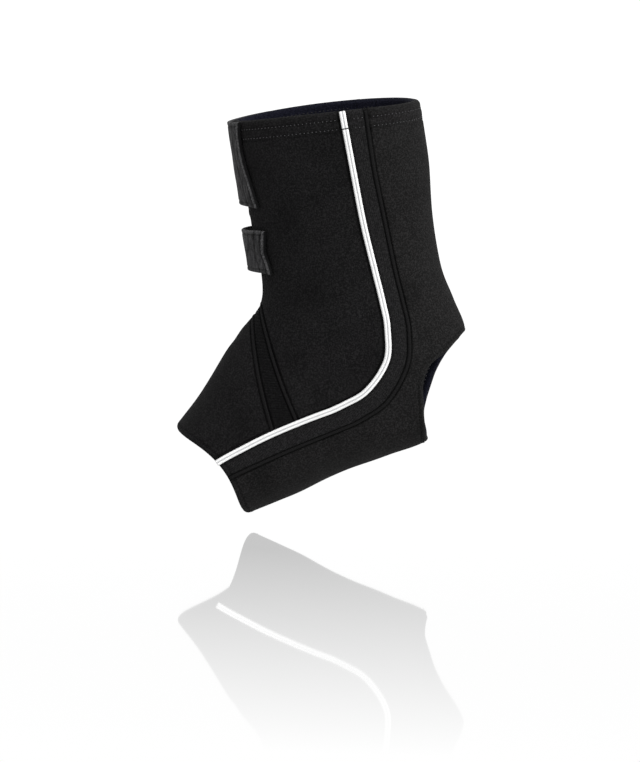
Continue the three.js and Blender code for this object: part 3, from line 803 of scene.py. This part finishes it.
opening_gap = edge_gap(ground, unit(np.roll(ground[0], -1, 0) - np.roll(ground[0], 1, 0)))
opening_gap[-1] = opening_gap[-2]
seam_gap = beside_line("seam", section, angle) - SEAM_GAP / 2
wall = wall_at(section, angle)
free_gaps = opening_gap, below_rim(section, angle), above_toe(section, angle)
outer_drop = np.max([rounded(gap, FREE_SHARE * wall) for gap in free_gaps], 0)
inner_drop = np.maximum(outer_drop, rounded(seam_gap, SEWN_INNER))
outer_drop = np.maximum(outer_drop, rounded(seam_gap, SEWN_OUTER))
relief = hem_relief(section, angle) + toe_relief(section, angle) + soft_relief(ground)
relief += ditch(seam_gap, SEAM_DITCH, *SEAM_PRESS) + ditch(opening_gap, *HOLE_ROW)
outer = ground + out * (relief - outer_drop)[..., None]
inner = ground - out * (wall - inner_drop)[..., None]
count = section.size
number = np.arange(count).reshape(section.shape)
beyond = np.roll(number, -1, 1)
faces = np.stack([number[:-1], beyond[:-1], beyond[1:], number[1:]], -1).reshape(-1, 4)
strips = np.concatenate([strip_quads(number[0], count), strip_quads(number[-1], count)[:, ::-1]])
around = read_table(round_lengths, section, angle) * np.sign(np.pi - angle)
maps = np.tile(np.stack([around, below_rim(section, angle)], -1).reshape(-1, 2), (2, 1))
# Painted shade, as on the other panels: darker wherever the face dips
groove = np.concatenate([np.clip(-relief / GROOVE_DEPTH, 0, 1).ravel(), np.zeros(count)])
# A paler copy of the front's jersey, as painted light
heel_knit = jersey("black_jersey_back_painted_pale", HEEL_PAINTED_PALE_DARK, HEEL_PAINTED_PALE_LIGHT)
piece = make_piece(
    "back_panel_cloth",
    np.concatenate([outer.reshape(-1, 3), inner.reshape(-1, 3)]),
    np.concatenate([faces, faces[:, ::-1] + count, strips]),
    np.repeat([0, 1, 0], [len(faces), len(faces), len(strips)]),
    (heel_knit, lining_knit), maps, {"groove": groove},
)
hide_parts("back_panel")
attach(piece, "root")

# White tape
# Piping tape of white polyester, folded to 3.4 mm with two rounded ribs. It is sewn over the line
# where side panel and stripe meet. At the rim its short folded end lies on the same line, tacked down.
PIPING_HALF = 1.7 * MM
PIPING_LIFT = 0.25 * MM
PIPING_HEIGHT = 1.25 * MM
TAPE_SINK = 0.15 * MM
TAPE_GROOVE_DEPTH, TAPE_GROOVE_HALF = 0.45 * MM, 0.2
NEARLY_ALL = 0.999  # keeps an arch's edge just above its underside
TAPE_COLUMNS = 21
TAPE_ROUNDING = 0.5 * MM
TAPE_WEAVE = 0.45  # millimetres from thread to thread
TAPE_STEPS = 700
TAPE_SHEEN = {"Specular IOR Level": 0.2, "Sheen Weight": 0.02}
TAPE_WHITE, TAPE_GREY = (0.74, 0.74, 0.735, 1), (0.60, 0.60, 0.60, 1)
# Painted shade: grey down the middle recess of the tape
TAPE_RECESS_SHADE, RECESS_SHADE_SHARE = (0.32, 0.325, 0.335, 1), 0.9
TAPE_SPECK, TAPE_WINDOW = 0.7 * MM, (0.3, 0.75)
TAPE_THREAD_SHARE, TAPE_SPECK_SHARE = 0.25, 0.4  # of the greyer white
TAPE_SMOOTH, TAPE_ROUGH, TAPE_DEPTH = 0.62, 0.15, 0.05 * MM
PIPING_END_LENGTH = 9.5 * MM
END_GAP = 0.3 * MM  # between the tape and its folded end
END_WIDER, END_HIGHER = 1.02, 0.15 * MM
END_STEPS = 60
END_DIP = 0.6  # how much of the rim's rounding the folded end follows


def white_tape():
    """Woven white tape: fine crosswise threads, and a faint grey of painted shade down its middle
    recess.
    """
    finish = Finish("white_piping_tape", TAPE_SHEEN)
    threads = wave(finish, finish.cloth()[1], TAPE_WEAVE)
    specks = finish.grain(finish.noise(TAPE_SPECK, 2.0), *TAPE_WINDOW)
    share = threads * TAPE_THREAD_SHARE + specks * TAPE_SPECK_SHARE
    colour = finish.mix(share, TAPE_WHITE, TAPE_GREY)
    colour = finish.mix(finish.fact("groove") * RECESS_SHADE_SHARE, colour, TAPE_RECESS_SHADE)
    return finish.surface(colour, TAPE_SMOOTH + specks * TAPE_ROUGH, threads, TAPE_DEPTH)


def tape_along(name, section, angle, out, half, columns, top, bottom, material):
    """A tape carried along a line on the sleeve, a distance outside its face.

    Rows follow the line and columns go from side to side. top and bottom give the two faces'
    heights for a place across, from -1 to 1.
    """
    path = skin(section, angle, out)
    ahead = unit(np.gradient(path, axis=0))
    side = np.cross(outward(section, angle), np.gradient(path, axis=0))
    side = unit(side - (side * ahead).sum(-1, keepdims=True) * ahead)
    up = np.cross(ahead, side)
    across = -np.cos(np.linspace(0, np.pi, columns))
    walked = lengths_table(path, 0)
    ends = rounded(np.minimum(walked, walked[-1] - walked), TAPE_ROUNDING)[:, None]
    flat = path[:, None] + side[:, None] * (across * half)[None, :, None]
    outer = flat + up[:, None] * (top(across) - ends)[..., None]
    inner = flat + up[:, None] * bottom(across)[:, None]
    cloth = np.stack(np.broadcast_arrays(across * half, walked[:, None]), -1)
    # Painted shade down the middle recess, read by the white tape's finish
    groove = np.broadcast_to(bell(across, TAPE_GROOVE_HALF), outer.shape[:2])
    return closed_grid(name, outer, inner, (material, material), cloth, groove)


def piping_top(across):
    """Height of the tape's face: a flat-topped arch with a groove down its middle."""
    arch = PIPING_HEIGHT * np.sqrt(1 - across**4 * NEARLY_ALL)
    return PIPING_LIFT + arch - TAPE_GROOVE_DEPTH * bell(across, TAPE_GROOVE_HALF)


def piping_bottom(across):
    """Height of the tape's underside, which lies on the cloth."""
    return np.full_like(across, PIPING_LIFT - TAPE_SINK)


def folded_top(across):
    """The folded end is a little higher than the tape."""
    return piping_top(across) + END_HIGHER


tape_finish = white_tape()
tape_sections = np.linspace(0, TOE_EDGE, TAPE_STEPS)
tape_angles = line_angle("piping", tape_sections)
kept = below_rim(tape_sections, tape_angles) > PIPING_END_LENGTH + END_GAP
for name, sign in (("left", -1), ("right", 1)):
    piece = tape_along(
        f"piping_tape_{name}", tape_sections[kept], sign * tape_angles[kept], 0.0,
        PIPING_HALF, TAPE_COLUMNS, piping_top, piping_bottom, tape_finish,
    )
    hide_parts(f"piping_{name}")
    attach(piece, "root")
    end_angles = np.full(END_STEPS, sign * tape_angles[0])
    end_gaps = np.linspace(PIPING_END_LENGTH, TAPE_ROUNDING, END_STEPS)
    end_drop = END_DIP * rounded(end_gaps, FREE_SHARE * (WALL + HEM_EXTRA))
    piece = tape_along(
        f"piping_fold_{name}", section_below_rim(end_gaps, end_angles), end_angles, -end_drop,
        PIPING_HALF * END_WIDER, TAPE_COLUMNS, folded_top, piping_bottom, tape_finish,
    )
    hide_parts(f"piping_end_{name}")
    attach(piece, "root")

# Covered seams
# Flat seams whose edges are covered by a narrow band of thread: one on each side between stripe and
# back panel, and two round the front along the edges of the gusset.
COVER_HALF = 0.75 * MM
COVER_RISE, COVER_SINK, COVER_DEPTH = 0.3 * MM, 0.05 * MM, 0.5 * MM
COVER_COLUMNS = 11
COVER_SHORT = 0.03  # sections by which a cover ends before the rim and the toe edge
COVER_STEPS, GUSSET_COVER_STEPS = 700, 500
GUSSET_COVER_SHARE = 0.985  # of the way to the tape
STRAND_LENGTH, STRAND_WIDTH = 0.55, 0.8  # of the slanting strands, in millimetres
THREAD_LIGHT, THREAD_DARK = 1.5, 0.6  # the thread's colour is taken up and down by these
THREAD_SPECK, THREAD_WINDOW = 0.6 * MM, (0.35, 0.7)
STRAND_SHARE, THREAD_SPECK_SHARE = 0.5, 0.4
THREAD_ROUGH, STRAND_SMOOTH, SPECK_HEIGHT, THREAD_DEPTH = 0.8, 0.15, 0.3, 0.08 * MM


def thread_finish(name, colour, shine):
    """Twisted thread: fine slanting strands, and a little unevenness."""
    finish = Finish(name, {"Specular IOR Level": shine, "Sheen Weight": 0.01})
    across, along_thread = finish.cloth()
    strands = wave(finish, along_thread / STRAND_LENGTH + across / STRAND_WIDTH, 1)
    specks = finish.grain(finish.noise(THREAD_SPECK, 2.0), *THREAD_WINDOW)
    dark, light = ((*(factor * v for v in colour), 1) for factor in (THREAD_DARK, THREAD_LIGHT))
    shade = finish.mix(strands * STRAND_SHARE + specks * THREAD_SPECK_SHARE, dark, light)
    roughness, relief = THREAD_ROUGH - strands * STRAND_SMOOTH, strands + specks * SPECK_HEIGHT
    return finish.surface(shade, roughness, relief, THREAD_DEPTH)


cover_thread = thread_finish("black_cover_thread", (0.0070, 0.0068, 0.0070), 0.03)


def cover_top(across):
    """Height of the covering threads: a low arch."""
    return COVER_RISE * np.sqrt(1 - across**2 * NEARLY_ALL) - COVER_SINK


def cover_bottom(across):
    """The underside reaches down into the joint."""
    return np.full_like(across, -COVER_DEPTH)


seam_sections = np.linspace(COVER_SHORT, TOE_EDGE - COVER_SHORT, COVER_STEPS)
seam_angles = line_angle("seam", seam_sections)
covers = [
    ("seam_cover_left", seam_sections, -seam_angles, "ribbed_knit"),
    ("seam_cover_right", seam_sections, seam_angles, "ribbed_knit"),
]
cover_along = np.linspace(-GUSSET_COVER_SHARE, GUSSET_COVER_SHARE, GUSSET_COVER_STEPS)
for name, foot, top, end in (
    ("upper", upper_foot, GUSSET_TOP, GUSSET_TOP_FOOT),
    ("lower", lower_foot, GUSSET_BOTTOM, GUSSET_BOTTOM_FOOT),
):
    turned = cover_along * foot
    at = gusset_section(turned, top, end)
    covers.append((f"gusset_cover_{name}", at, turned, "gusset_knit"))
for name, at, turned, slot in covers:
    end_drop = rounded(np.minimum(below_rim(at, turned), above_toe(at, turned)), FREE_SHARE * WALL)
    piece = tape_along(
        name, at, turned, -end_drop, COVER_HALF, COVER_COLUMNS, cover_top, cover_bottom, cover_thread
    )
    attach(piece, "root")

# Tabs
# Two hook-and-loop tabs of brushed tape that bridge the slit at the shin. Their right ends are sewn
# down and their left ends, which show, are rolled into a corded edge.
TAB_RIGHT = 0.85
TAB_THICKNESS = 1.6 * MM
TAB_LIFT = 0.3 * MM
TAB_RISE = 1 * MM
TAB_ROWS, TAB_COLUMNS = 90, 100
TAB_WEAVE = 0.8  # millimetres from thread to thread
EDGE_ROUNDING, INNER_SHARE = 0.75 * MM, 0.9
ROLL_HALF, ROLL_HEIGHT = 1.5 * MM, 0.75 * MM  # the left edge is rolled into a cord
CORD_PITCH, CORD_HEIGHT, CORD_SLANT = 2.6 * MM, 0.14 * MM, 0.9
# Painted highlight: the rolled cord is painted paler, streaked along its twist
CORD_PALE, CORD_STREAKS = 0.75, 0.35
RIPPLE_HEIGHT, RIPPLE_TURNS = 0.14 * MM, 13
RIPPLE_LENGTHS = (7 * MM, 5.2 * MM)
# Painted shade in a tab's pressed lines is this much stronger
GROOVE_GAIN = 1.3
# Painted shadow on the end face beside the cord
END_SHADOW, END_WIDTH = 1.7, 0.5 * MM  # the dark end face beside the cord
# Painted highlight along the fold at the top
TOP_PALE, TOP_REACH, TOP_WIDTH = 0.8, 1.6, 1.5 * MM  # the pale fold along the top
TAB_SHEEN = {"Specular IOR Level": 0.08, "Sheen Weight": 0.015}
STREAK, STREAK_STRETCH, STREAK_WINDOW = 1.5 * MM, (1, 1, 0.22), (0.40, 0.62)
TAB_SPECK, TAB_WINDOW = 0.8 * MM, (0.4, 0.7)
STREAK_SHARE, TAB_SPECK_SHARE, WEAVE_SHARE, HIGHLIGHT_SHARE = 0.5, 0.4, 0.08, 0.85
TAB_ROUGH, STREAK_SMOOTH = 0.75, 0.15
WEAVE_HEIGHT, TAB_SPECK_HEIGHT, TAB_DEPTH = 0.4, 0.5, 0.12 * MM
TAB_DARK, TAB_LIGHT = (0.0085, 0.0085, 0.0088, 1), (0.0530, 0.0520, 0.0540, 1)
# Colours of the painted highlight on the cord and the top fold
HIGHLIGHT_DARK, HIGHLIGHT_LIGHT = (0.034, 0.034, 0.035, 1), (0.115, 0.113, 0.117, 1)
# Colour of the painted shade and shadow on a tab
TAB_SHADE_BLACK = (0.0015, 0.0015, 0.0017, 1)
# Lines pressed into a tab beside its edges: which edge, place, depth and half width in millimetres
TAB_LINES = (
    ("left", 3.5, 0.35, 0.5), ("left", 8.2, 0.28, 0.5), ("low", 2.2, 0.2, 0.5),
    ("top", 2.4, 0.22, 0.6), ("right", 3.0, 0.3, 0.6),
)
# Each row: name, drop from the rim, height, lift at its middle above and below, and then the angle
# of the left edge from its top to its bottom
TABS = (
    ("upper_tab", 0.0, 48.0, 0.8, 2.6, (0.57, 0.52, 0.50, 0.52, 0.56, 0.60, 0.64)),
    ("lower_tab", 61.0, 25.0, 4.6, 5.6, (0.67, 0.62, 0.57, 0.61, 0.63)),
)


def tab_tape():
    """Brushed tape: streaks of pale fibre down the tab and a weave below them, with painted shade in its
    pressed lines and a painted highlight on its cord and top fold.
    """
    finish = Finish("brushed_tab_tape", TAB_SHEEN)
    across, down = finish.cloth()
    turns = TURN / TAB_WEAVE
    weave = finish.math("SINE", across * turns) * finish.math("SINE", down * turns)
    streaks = finish.grain(finish.noise(STREAK, 3.0, STREAK_STRETCH), *STREAK_WINDOW)
    specks = finish.grain(finish.noise(TAB_SPECK, 2.0), *TAB_WINDOW)
    share = streaks * STREAK_SHARE + specks * TAB_SPECK_SHARE + weave * WEAVE_SHARE
    colour = finish.mix(share, TAB_DARK, TAB_LIGHT)
    # Painted highlight on the cord and the top fold, then painted shade in the grooves
    pale = finish.mix(specks, HIGHLIGHT_DARK, HIGHLIGHT_LIGHT)
    colour = finish.mix(finish.fact("fold") * HIGHLIGHT_SHARE, colour, pale)
    colour = finish.mix(finish.fact("groove"), colour, TAB_SHADE_BLACK)
    relief = streaks + weave * WEAVE_HEIGHT + specks * TAB_SPECK_HEIGHT
    return finish.surface(colour, TAB_ROUGH - streaks * STREAK_SMOOTH, relief, TAB_DEPTH)


def tab_points(down_share, across_share, drop, tall, above, below, left_edge):
    """Sections, angles and lift of a tab over the slit.

    The lift is a cosine arch from end to end. The lower edge rises by the same arch, and the left
    edge follows its own row of angles.
    """
    left = -np.interp(down_share, np.linspace(0, 1, len(left_edge)), left_edge)
    angle = left + (TAB_RIGHT - left) * across_share
    reach = np.where(angle < 0, angle / -left, angle / TAB_RIGHT)
    arch = np.cos(reach * np.pi / 2) ** 2
    walked = drop * MM + (tall * MM - TAB_RISE * arch) * down_share
    section = section_below_rim(walked, np.zeros_like(walked))
    lift = TAB_LIFT + arch * (above + (below - above) * down_share) * MM
    return section, angle, lift


tab_finish = tab_tape()
for name, drop, tall, above, below, left_edge in TABS:
    down_share, across_share = np.meshgrid(
        spaced(0, 1, TAB_ROWS, [(0, 6, 0.03), (1, 6, 0.04)]),
        spaced(0, 1, TAB_COLUMNS, [(0, 8, 0.07), (1, 5, 0.02)]), indexing="ij",
    )
    section, angle, lift = tab_points(down_share, across_share, drop, tall, above, below, left_edge)
    ground, out = face(section, angle), outward(section, angle)
    middle = ground + out * lift[..., None]
    gaps = dict(zip(("top", "low", "left", "right"), four_gaps(middle)))
    edge_drop = np.max([rounded(gap, EDGE_ROUNDING) for gap in gaps.values()], 0)
    roll = np.sqrt(np.clip(1 - (gaps["left"] / ROLL_HALF - 1) ** 2, 0, 1))
    walked = lengths_table(middle, 0)
    twist = np.sin((walked - CORD_SLANT * gaps["left"]) / CORD_PITCH * TURN)
    relief = roll * (ROLL_HEIGHT + CORD_HEIGHT * twist)
    for edge, place, deep, half in TAB_LINES:
        relief += ditch(gaps[edge], place * MM, deep * MM, half * MM)
    ripple = RIPPLE_HEIGHT * np.sin(angle * RIPPLE_TURNS + walked / RIPPLE_LENGTHS[0])
    ripple *= np.sin(walked / RIPPLE_LENGTHS[1] + 1)
    outer = middle + out * (TAB_THICKNESS + relief + ripple - edge_drop)[..., None]
    inner = middle + out * (edge_drop * INNER_SHARE + ripple * 0.5)[..., None]
    cloth = np.stack([lengths_table(middle, 1), walked], -1)
    # Painted shade in the pressed lines, and a painted shadow on the end face beside the cord
    groove = np.clip(-relief / GROOVE_DEPTH * GROOVE_GAIN, 0, 1)
    groove = np.maximum(groove, np.clip(END_SHADOW - gaps["left"] / END_WIDTH, 0, 1))
    # Painted highlight: the top fold and the rolled cord are painted paler
    top_fold = TOP_PALE * np.clip(TOP_REACH - gaps["top"] / TOP_WIDTH, 0, 1)
    fold = np.maximum(roll * np.clip(CORD_PALE + CORD_STREAKS * twist, 0, 1), top_fold)
    piece = closed_grid(f"{name}_tape", outer, inner, (tab_finish, tab_finish), cloth, groove, fold)
    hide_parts(name)
    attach(piece, "root")

# Stitches
# Rows of lock stitch in polyester thread: two pale rows round the hem outside and inside, and dark
# rows along the toe edge and the heel opening, with a pale one on the opening's inner face.
PITCH = 2.3 * MM
STITCH_RINGS, STITCH_SIDES = 5, 4
STITCH_THINNING, STITCH_BEND = 0.93, 0.7  # how thin and how low a stitch gets at its ends
# Length and radius of a stitch of each kind of row
HEM_STITCH = (0.95 * MM, 0.33 * MM)
HEM_STITCH_INSIDE = (1.5 * MM, 0.34 * MM)
TOE_STITCH = (1.2 * MM, 0.26 * MM)
HEEL_STITCH = (1.5 * MM, 0.3 * MM)
HEEL_STITCH_INSIDE = (1.2 * MM, 0.34 * MM)
HEM_SUNK, ROW_SUNK = 0.08 * MM, 0.1 * MM  # how deep a row lies in the cloth
LINE_STEPS = 300
# How far round the sleeve, in radians, the rows stop before and after a tape, a seam and a tab
BEFORE_TAPE, AFTER_TAPE, BESIDE_TOE_TAPE = 0.07, 0.075, 0.08
BEFORE_SEAM, AFTER_SEAM = 0.03, 0.04
BEFORE_TAB, AFTER_TAB = 0.54, TAB_RIGHT + 0.04


def stitch_rows(name, rows, length, radius, material, slot):
    """Short threads along lines on the cloth, each a spindle bent down at both ends.

    A row is a line of points with their outward directions. Stitches stand a pitch apart along it.
    """
    parts = []
    for line, up in rows:
        walked = lengths_table(line, 0)
        at = np.arange(PITCH / 2, walked[-1], PITCH)
        along_row = line, np.gradient(line, axis=0), up
        parts.append([
            np.stack([np.interp(at, walked, values[:, k]) for k in range(3)], -1)
            for values in along_row
        ])
    centre, ahead, up = (np.concatenate(part)[:, None, None] for part in zip(*parts))
    ahead, up = unit(ahead), unit(up)
    side = unit(np.cross(up, ahead))
    along_thread = np.linspace(-1, 1, STITCH_RINGS)[None, :, None, None]
    turn = ((np.arange(STITCH_SIDES) + 0.5) * TURN / STITCH_SIDES)[None, None, :, None]
    thick = radius * np.sqrt(1 - STITCH_THINNING * along_thread**2)
    points = centre + ahead * along_thread * length / 2 - up * along_thread**2 * radius * STITCH_BEND
    points = points + (side * np.cos(turn) + up * np.sin(turn)) * thick
    count = len(points)
    ring = np.arange(STITCH_RINGS * STITCH_SIDES).reshape(STITCH_RINGS, STITCH_SIDES)
    next_ring = np.roll(ring, -1, 1)
    sides = np.stack([ring[:-1], next_ring[:-1], next_ring[1:], ring[1:]], -1).reshape(-1, 4)
    one = np.concatenate([sides, ring[0][None, ::-1], ring[-1][None]])
    quads = (one[None] + (np.arange(count) * ring.size)[:, None, None]).reshape(-1, 4)
    flat = np.stack(np.broadcast_arrays(
        turn[..., 0] * radius, along_thread[..., 0] * length / 2, np.zeros((count, 1, 1))
    )[:2], -1)
    piece = make_piece(
        name, points.reshape(-1, 3), quads, np.zeros(len(quads)), (material,),
        flat.reshape(-1, 2), {},
    )
    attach(piece, "root")


pale_thread = thread_finish("pale_grey_thread", (0.046, 0.045, 0.048), 0.2)
dark_thread = thread_finish("black_thread", (0.003, 0.003, 0.003), 0.1)
soft_thread = thread_finish("grey_thread", (0.022, 0.022, 0.023), 0.15)


def hem_line(gap, start, end, out):
    """Points and outward directions of a line round the sleeve, at a distance below the rim."""
    angle = np.linspace(start, end, LINE_STEPS)
    section = section_below_rim(gap, angle)
    return skin(section, angle, out), outward(section, angle)


def toe_line(gap, start, end, out):
    """The same at a distance from the toe edge."""
    angle = np.linspace(start, end, LINE_STEPS)
    rim, toe = np.zeros_like(angle), np.full_like(angle, TOE_EDGE)
    section = halved(rim, toe, lambda at: above_toe(at, angle) > gap)
    return skin(section, angle, out), outward(section, angle)


rim, toe_end = np.array(0.0), np.array(float(TOE_EDGE))
tape_at, seam_at = (float(line_angle(line, rim)) for line in ("piping", "seam"))
hem_spans = (
    (AFTER_TAB, tape_at - BEFORE_TAPE),
    (tape_at + AFTER_TAPE, seam_at - BEFORE_SEAM),
    (seam_at + AFTER_SEAM, TURN - seam_at - AFTER_SEAM),
    (TURN - seam_at + BEFORE_SEAM, TURN - tape_at - AFTER_TAPE),
    (TURN - tape_at + BEFORE_TAPE, TURN - BEFORE_TAB),
)
hem_lines = [(gap, *span) for gap in HEM_ROWS for span in hem_spans]
outside_rows = [hem_line(*line, -HEM_SUNK) for line in hem_lines]
stitch_rows("hem_stitches", outside_rows, *HEM_STITCH, pale_thread, "shin_knit")
inside_rows = [hem_line(*line, -(WALL + HEM_EXTRA)) for line in hem_lines]
inside_rows = [(line, -up) for line, up in inside_rows]
stitch_rows("hem_stitches_inside", inside_rows, *HEM_STITCH_INSIDE, soft_thread, "shin_knit")

tape_end, seam_end = (float(line_angle(line, toe_end)) for line in ("piping", "seam"))
toe_spans = (
    (-tape_end + BESIDE_TOE_TAPE, tape_end - BESIDE_TOE_TAPE),
    (tape_end + BESIDE_TOE_TAPE, seam_end - BEFORE_SEAM),
    (seam_end + AFTER_SEAM, TURN - seam_end - AFTER_SEAM),
    (TURN - seam_end + BEFORE_SEAM, TURN - tape_end - BESIDE_TOE_TAPE),
)
toe_rows = [toe_line(TOE_ROW[0], *span, -ROW_SUNK) for span in toe_spans]
stitch_rows("toe_stitches", toe_rows, *TOE_STITCH, dark_thread, "shin_knit")

# Heel opening stitches lie at one distance from the opening on both faces of the back panel
near = np.argmax(opening_gap > HOLE_ROW[0], axis=0)
column_numbers = np.arange(len(near))
before, after = opening_gap[near - 1, column_numbers], opening_gap[near, column_numbers]
part = ((HOLE_ROW[0] - before) / (after - before))[:, None]
heel_row = spread[near - 1, column_numbers] * (1 - part) + spread[near, column_numbers] * part
heel_row = np.concatenate([heel_row, heel_row[:1]])
at, turned = heel_row[:, 0], back_angle(heel_row[:, 0], heel_row[:, 1])
heel_up = outward(at, turned)
heel_rows = [(skin(at, turned, -ROW_SUNK), heel_up)]
stitch_rows("heel_stitches", heel_rows, *HEEL_STITCH, dark_thread, "heel_knit")
heel_rows = [(skin(at, turned, -WALL), -heel_up)]
stitch_rows("heel_stitches_inside", heel_rows, *HEEL_STITCH_INSIDE, pale_thread, "heel_knit")

# Studio
# A pale glossy floor below the sleeve, a white room and two large soft lamps. The camera stands
# where the photograph was taken from, on the wearer's left.
FLOOR_Z, FLOOR_HALF = -105 * MM, 20.0
FLOOR_GLOW = 0.565  # the floor shines a little itself, so that no shadow lies on it
ROOM_LIGHT = 0.78
MIRROR_REACH = (0.08, 0.60)  # metres in front of the sleeve between which the mirror image fades
floor_mesh = bpy.data.meshes.new("floor")
floor_corners = [
    (x * FLOOR_HALF, y * FLOOR_HALF, FLOOR_Z) for x, y in ((-1, -1), (1, -1), (1, 1), (-1, 1))
]
floor_mesh.from_pydata(floor_corners, [], [(0, 1, 2, 3)])
floor = bpy.data.objects.new("floor", floor_mesh)
bpy.context.collection.objects.link(floor)
floor_finish = Finish("pale_floor", {
    "Base Color": (0.3, 0.3, 0.3, 1), "Metallic": 1.0, "Roughness": 0.03,
    "Emission Color": (1, 1, 1, 1), "Emission Strength": FLOOR_GLOW,
})
place = floor_finish.node("ShaderNodeTexCoord", {}, {}, 3)
ahead = floor_finish.node("ShaderNodeSeparateXYZ", {}, {"Vector": place}, 1)
faded = floor_finish.grain(ahead * -1, *MIRROR_REACH)
plain = floor_finish.node("ShaderNodeEmission", {}, {"Color": (1, 1, 1, 1), "Strength": 1.0})
mirror = Number(floor_finish, floor_finish.shader.outputs[0])
mixed = floor_finish.node("ShaderNodeMixShader", {}, {0: faded, 1: mirror, 2: plain})
output = floor_finish.tree.nodes["Material Output"]
floor_finish.feed(output.inputs["Surface"], mixed)
floor_mesh.materials.append(floor_finish.material)

scene = bpy.context.scene
scene.view_settings.view_transform = "Standard"
room = bpy.data.worlds.new("white_room")
room.use_nodes = True
background = room.node_tree.nodes["Background"]
background.inputs["Color"].default_value = (1, 1, 1, 1)
background.inputs["Strength"].default_value = ROOM_LIGHT
scene.world = room

# Each row: name, the direction it shines from, its spread and its strength
LAMPS = (
    ("key_lamp", (0.80, -0.45, 0.55), 70.0, 3.35),
    ("top_lamp", (0.10, -0.25, 0.95), 90.0, 0.9),
)
for name, place, spread_angle, strength in LAMPS:
    lamp = bpy.data.lights.new(name, "SUN")
    lamp.angle = np.radians(spread_angle)
    lamp.energy = strength
    holder = bpy.data.objects.new(name, lamp)
    away = -np.array(place) / np.linalg.norm(place)
    holder.rotation_euler = Vector(away).to_track_quat("-Z", "Y").to_euler()
    bpy.context.collection.objects.link(holder)

AZIMUTH, ELEVATION, DISTANCE = np.radians(7.8), np.radians(8.6), 3.2
PIXEL = 0.565 * MM  # what one pixel of the 640 by 762 picture spans at the ankle centre
ORIGIN_AT = (352, 342)  # where the ankle centre lies in the picture
WIDE, TALL = 640, 762
level = np.array([np.sin(AZIMUTH), -np.cos(AZIMUTH), 0.0])
back = level * np.cos(ELEVATION) + np.array([0.0, 0.0, np.sin(ELEVATION)])
right = np.array([np.cos(AZIMUTH), np.sin(AZIMUTH), 0.0])
upright = np.cross(back, right)
target = right * (WIDE / 2 - ORIGIN_AT[0]) * PIXEL + upright * (ORIGIN_AT[1] - TALL / 2) * PIXEL
lens = bpy.data.cameras.new("camera")
lens.sensor_width = 36
lens.lens = lens.sensor_width * DISTANCE / (TALL * PIXEL)
lens.clip_end = 100
camera = bpy.data.objects.new("camera", lens)
camera.location = target + back * DISTANCE
camera.rotation_euler = Vector(-back).to_track_quat("-Z", "Y").to_euler()
bpy.context.collection.objects.link(camera)
scene.camera = camera
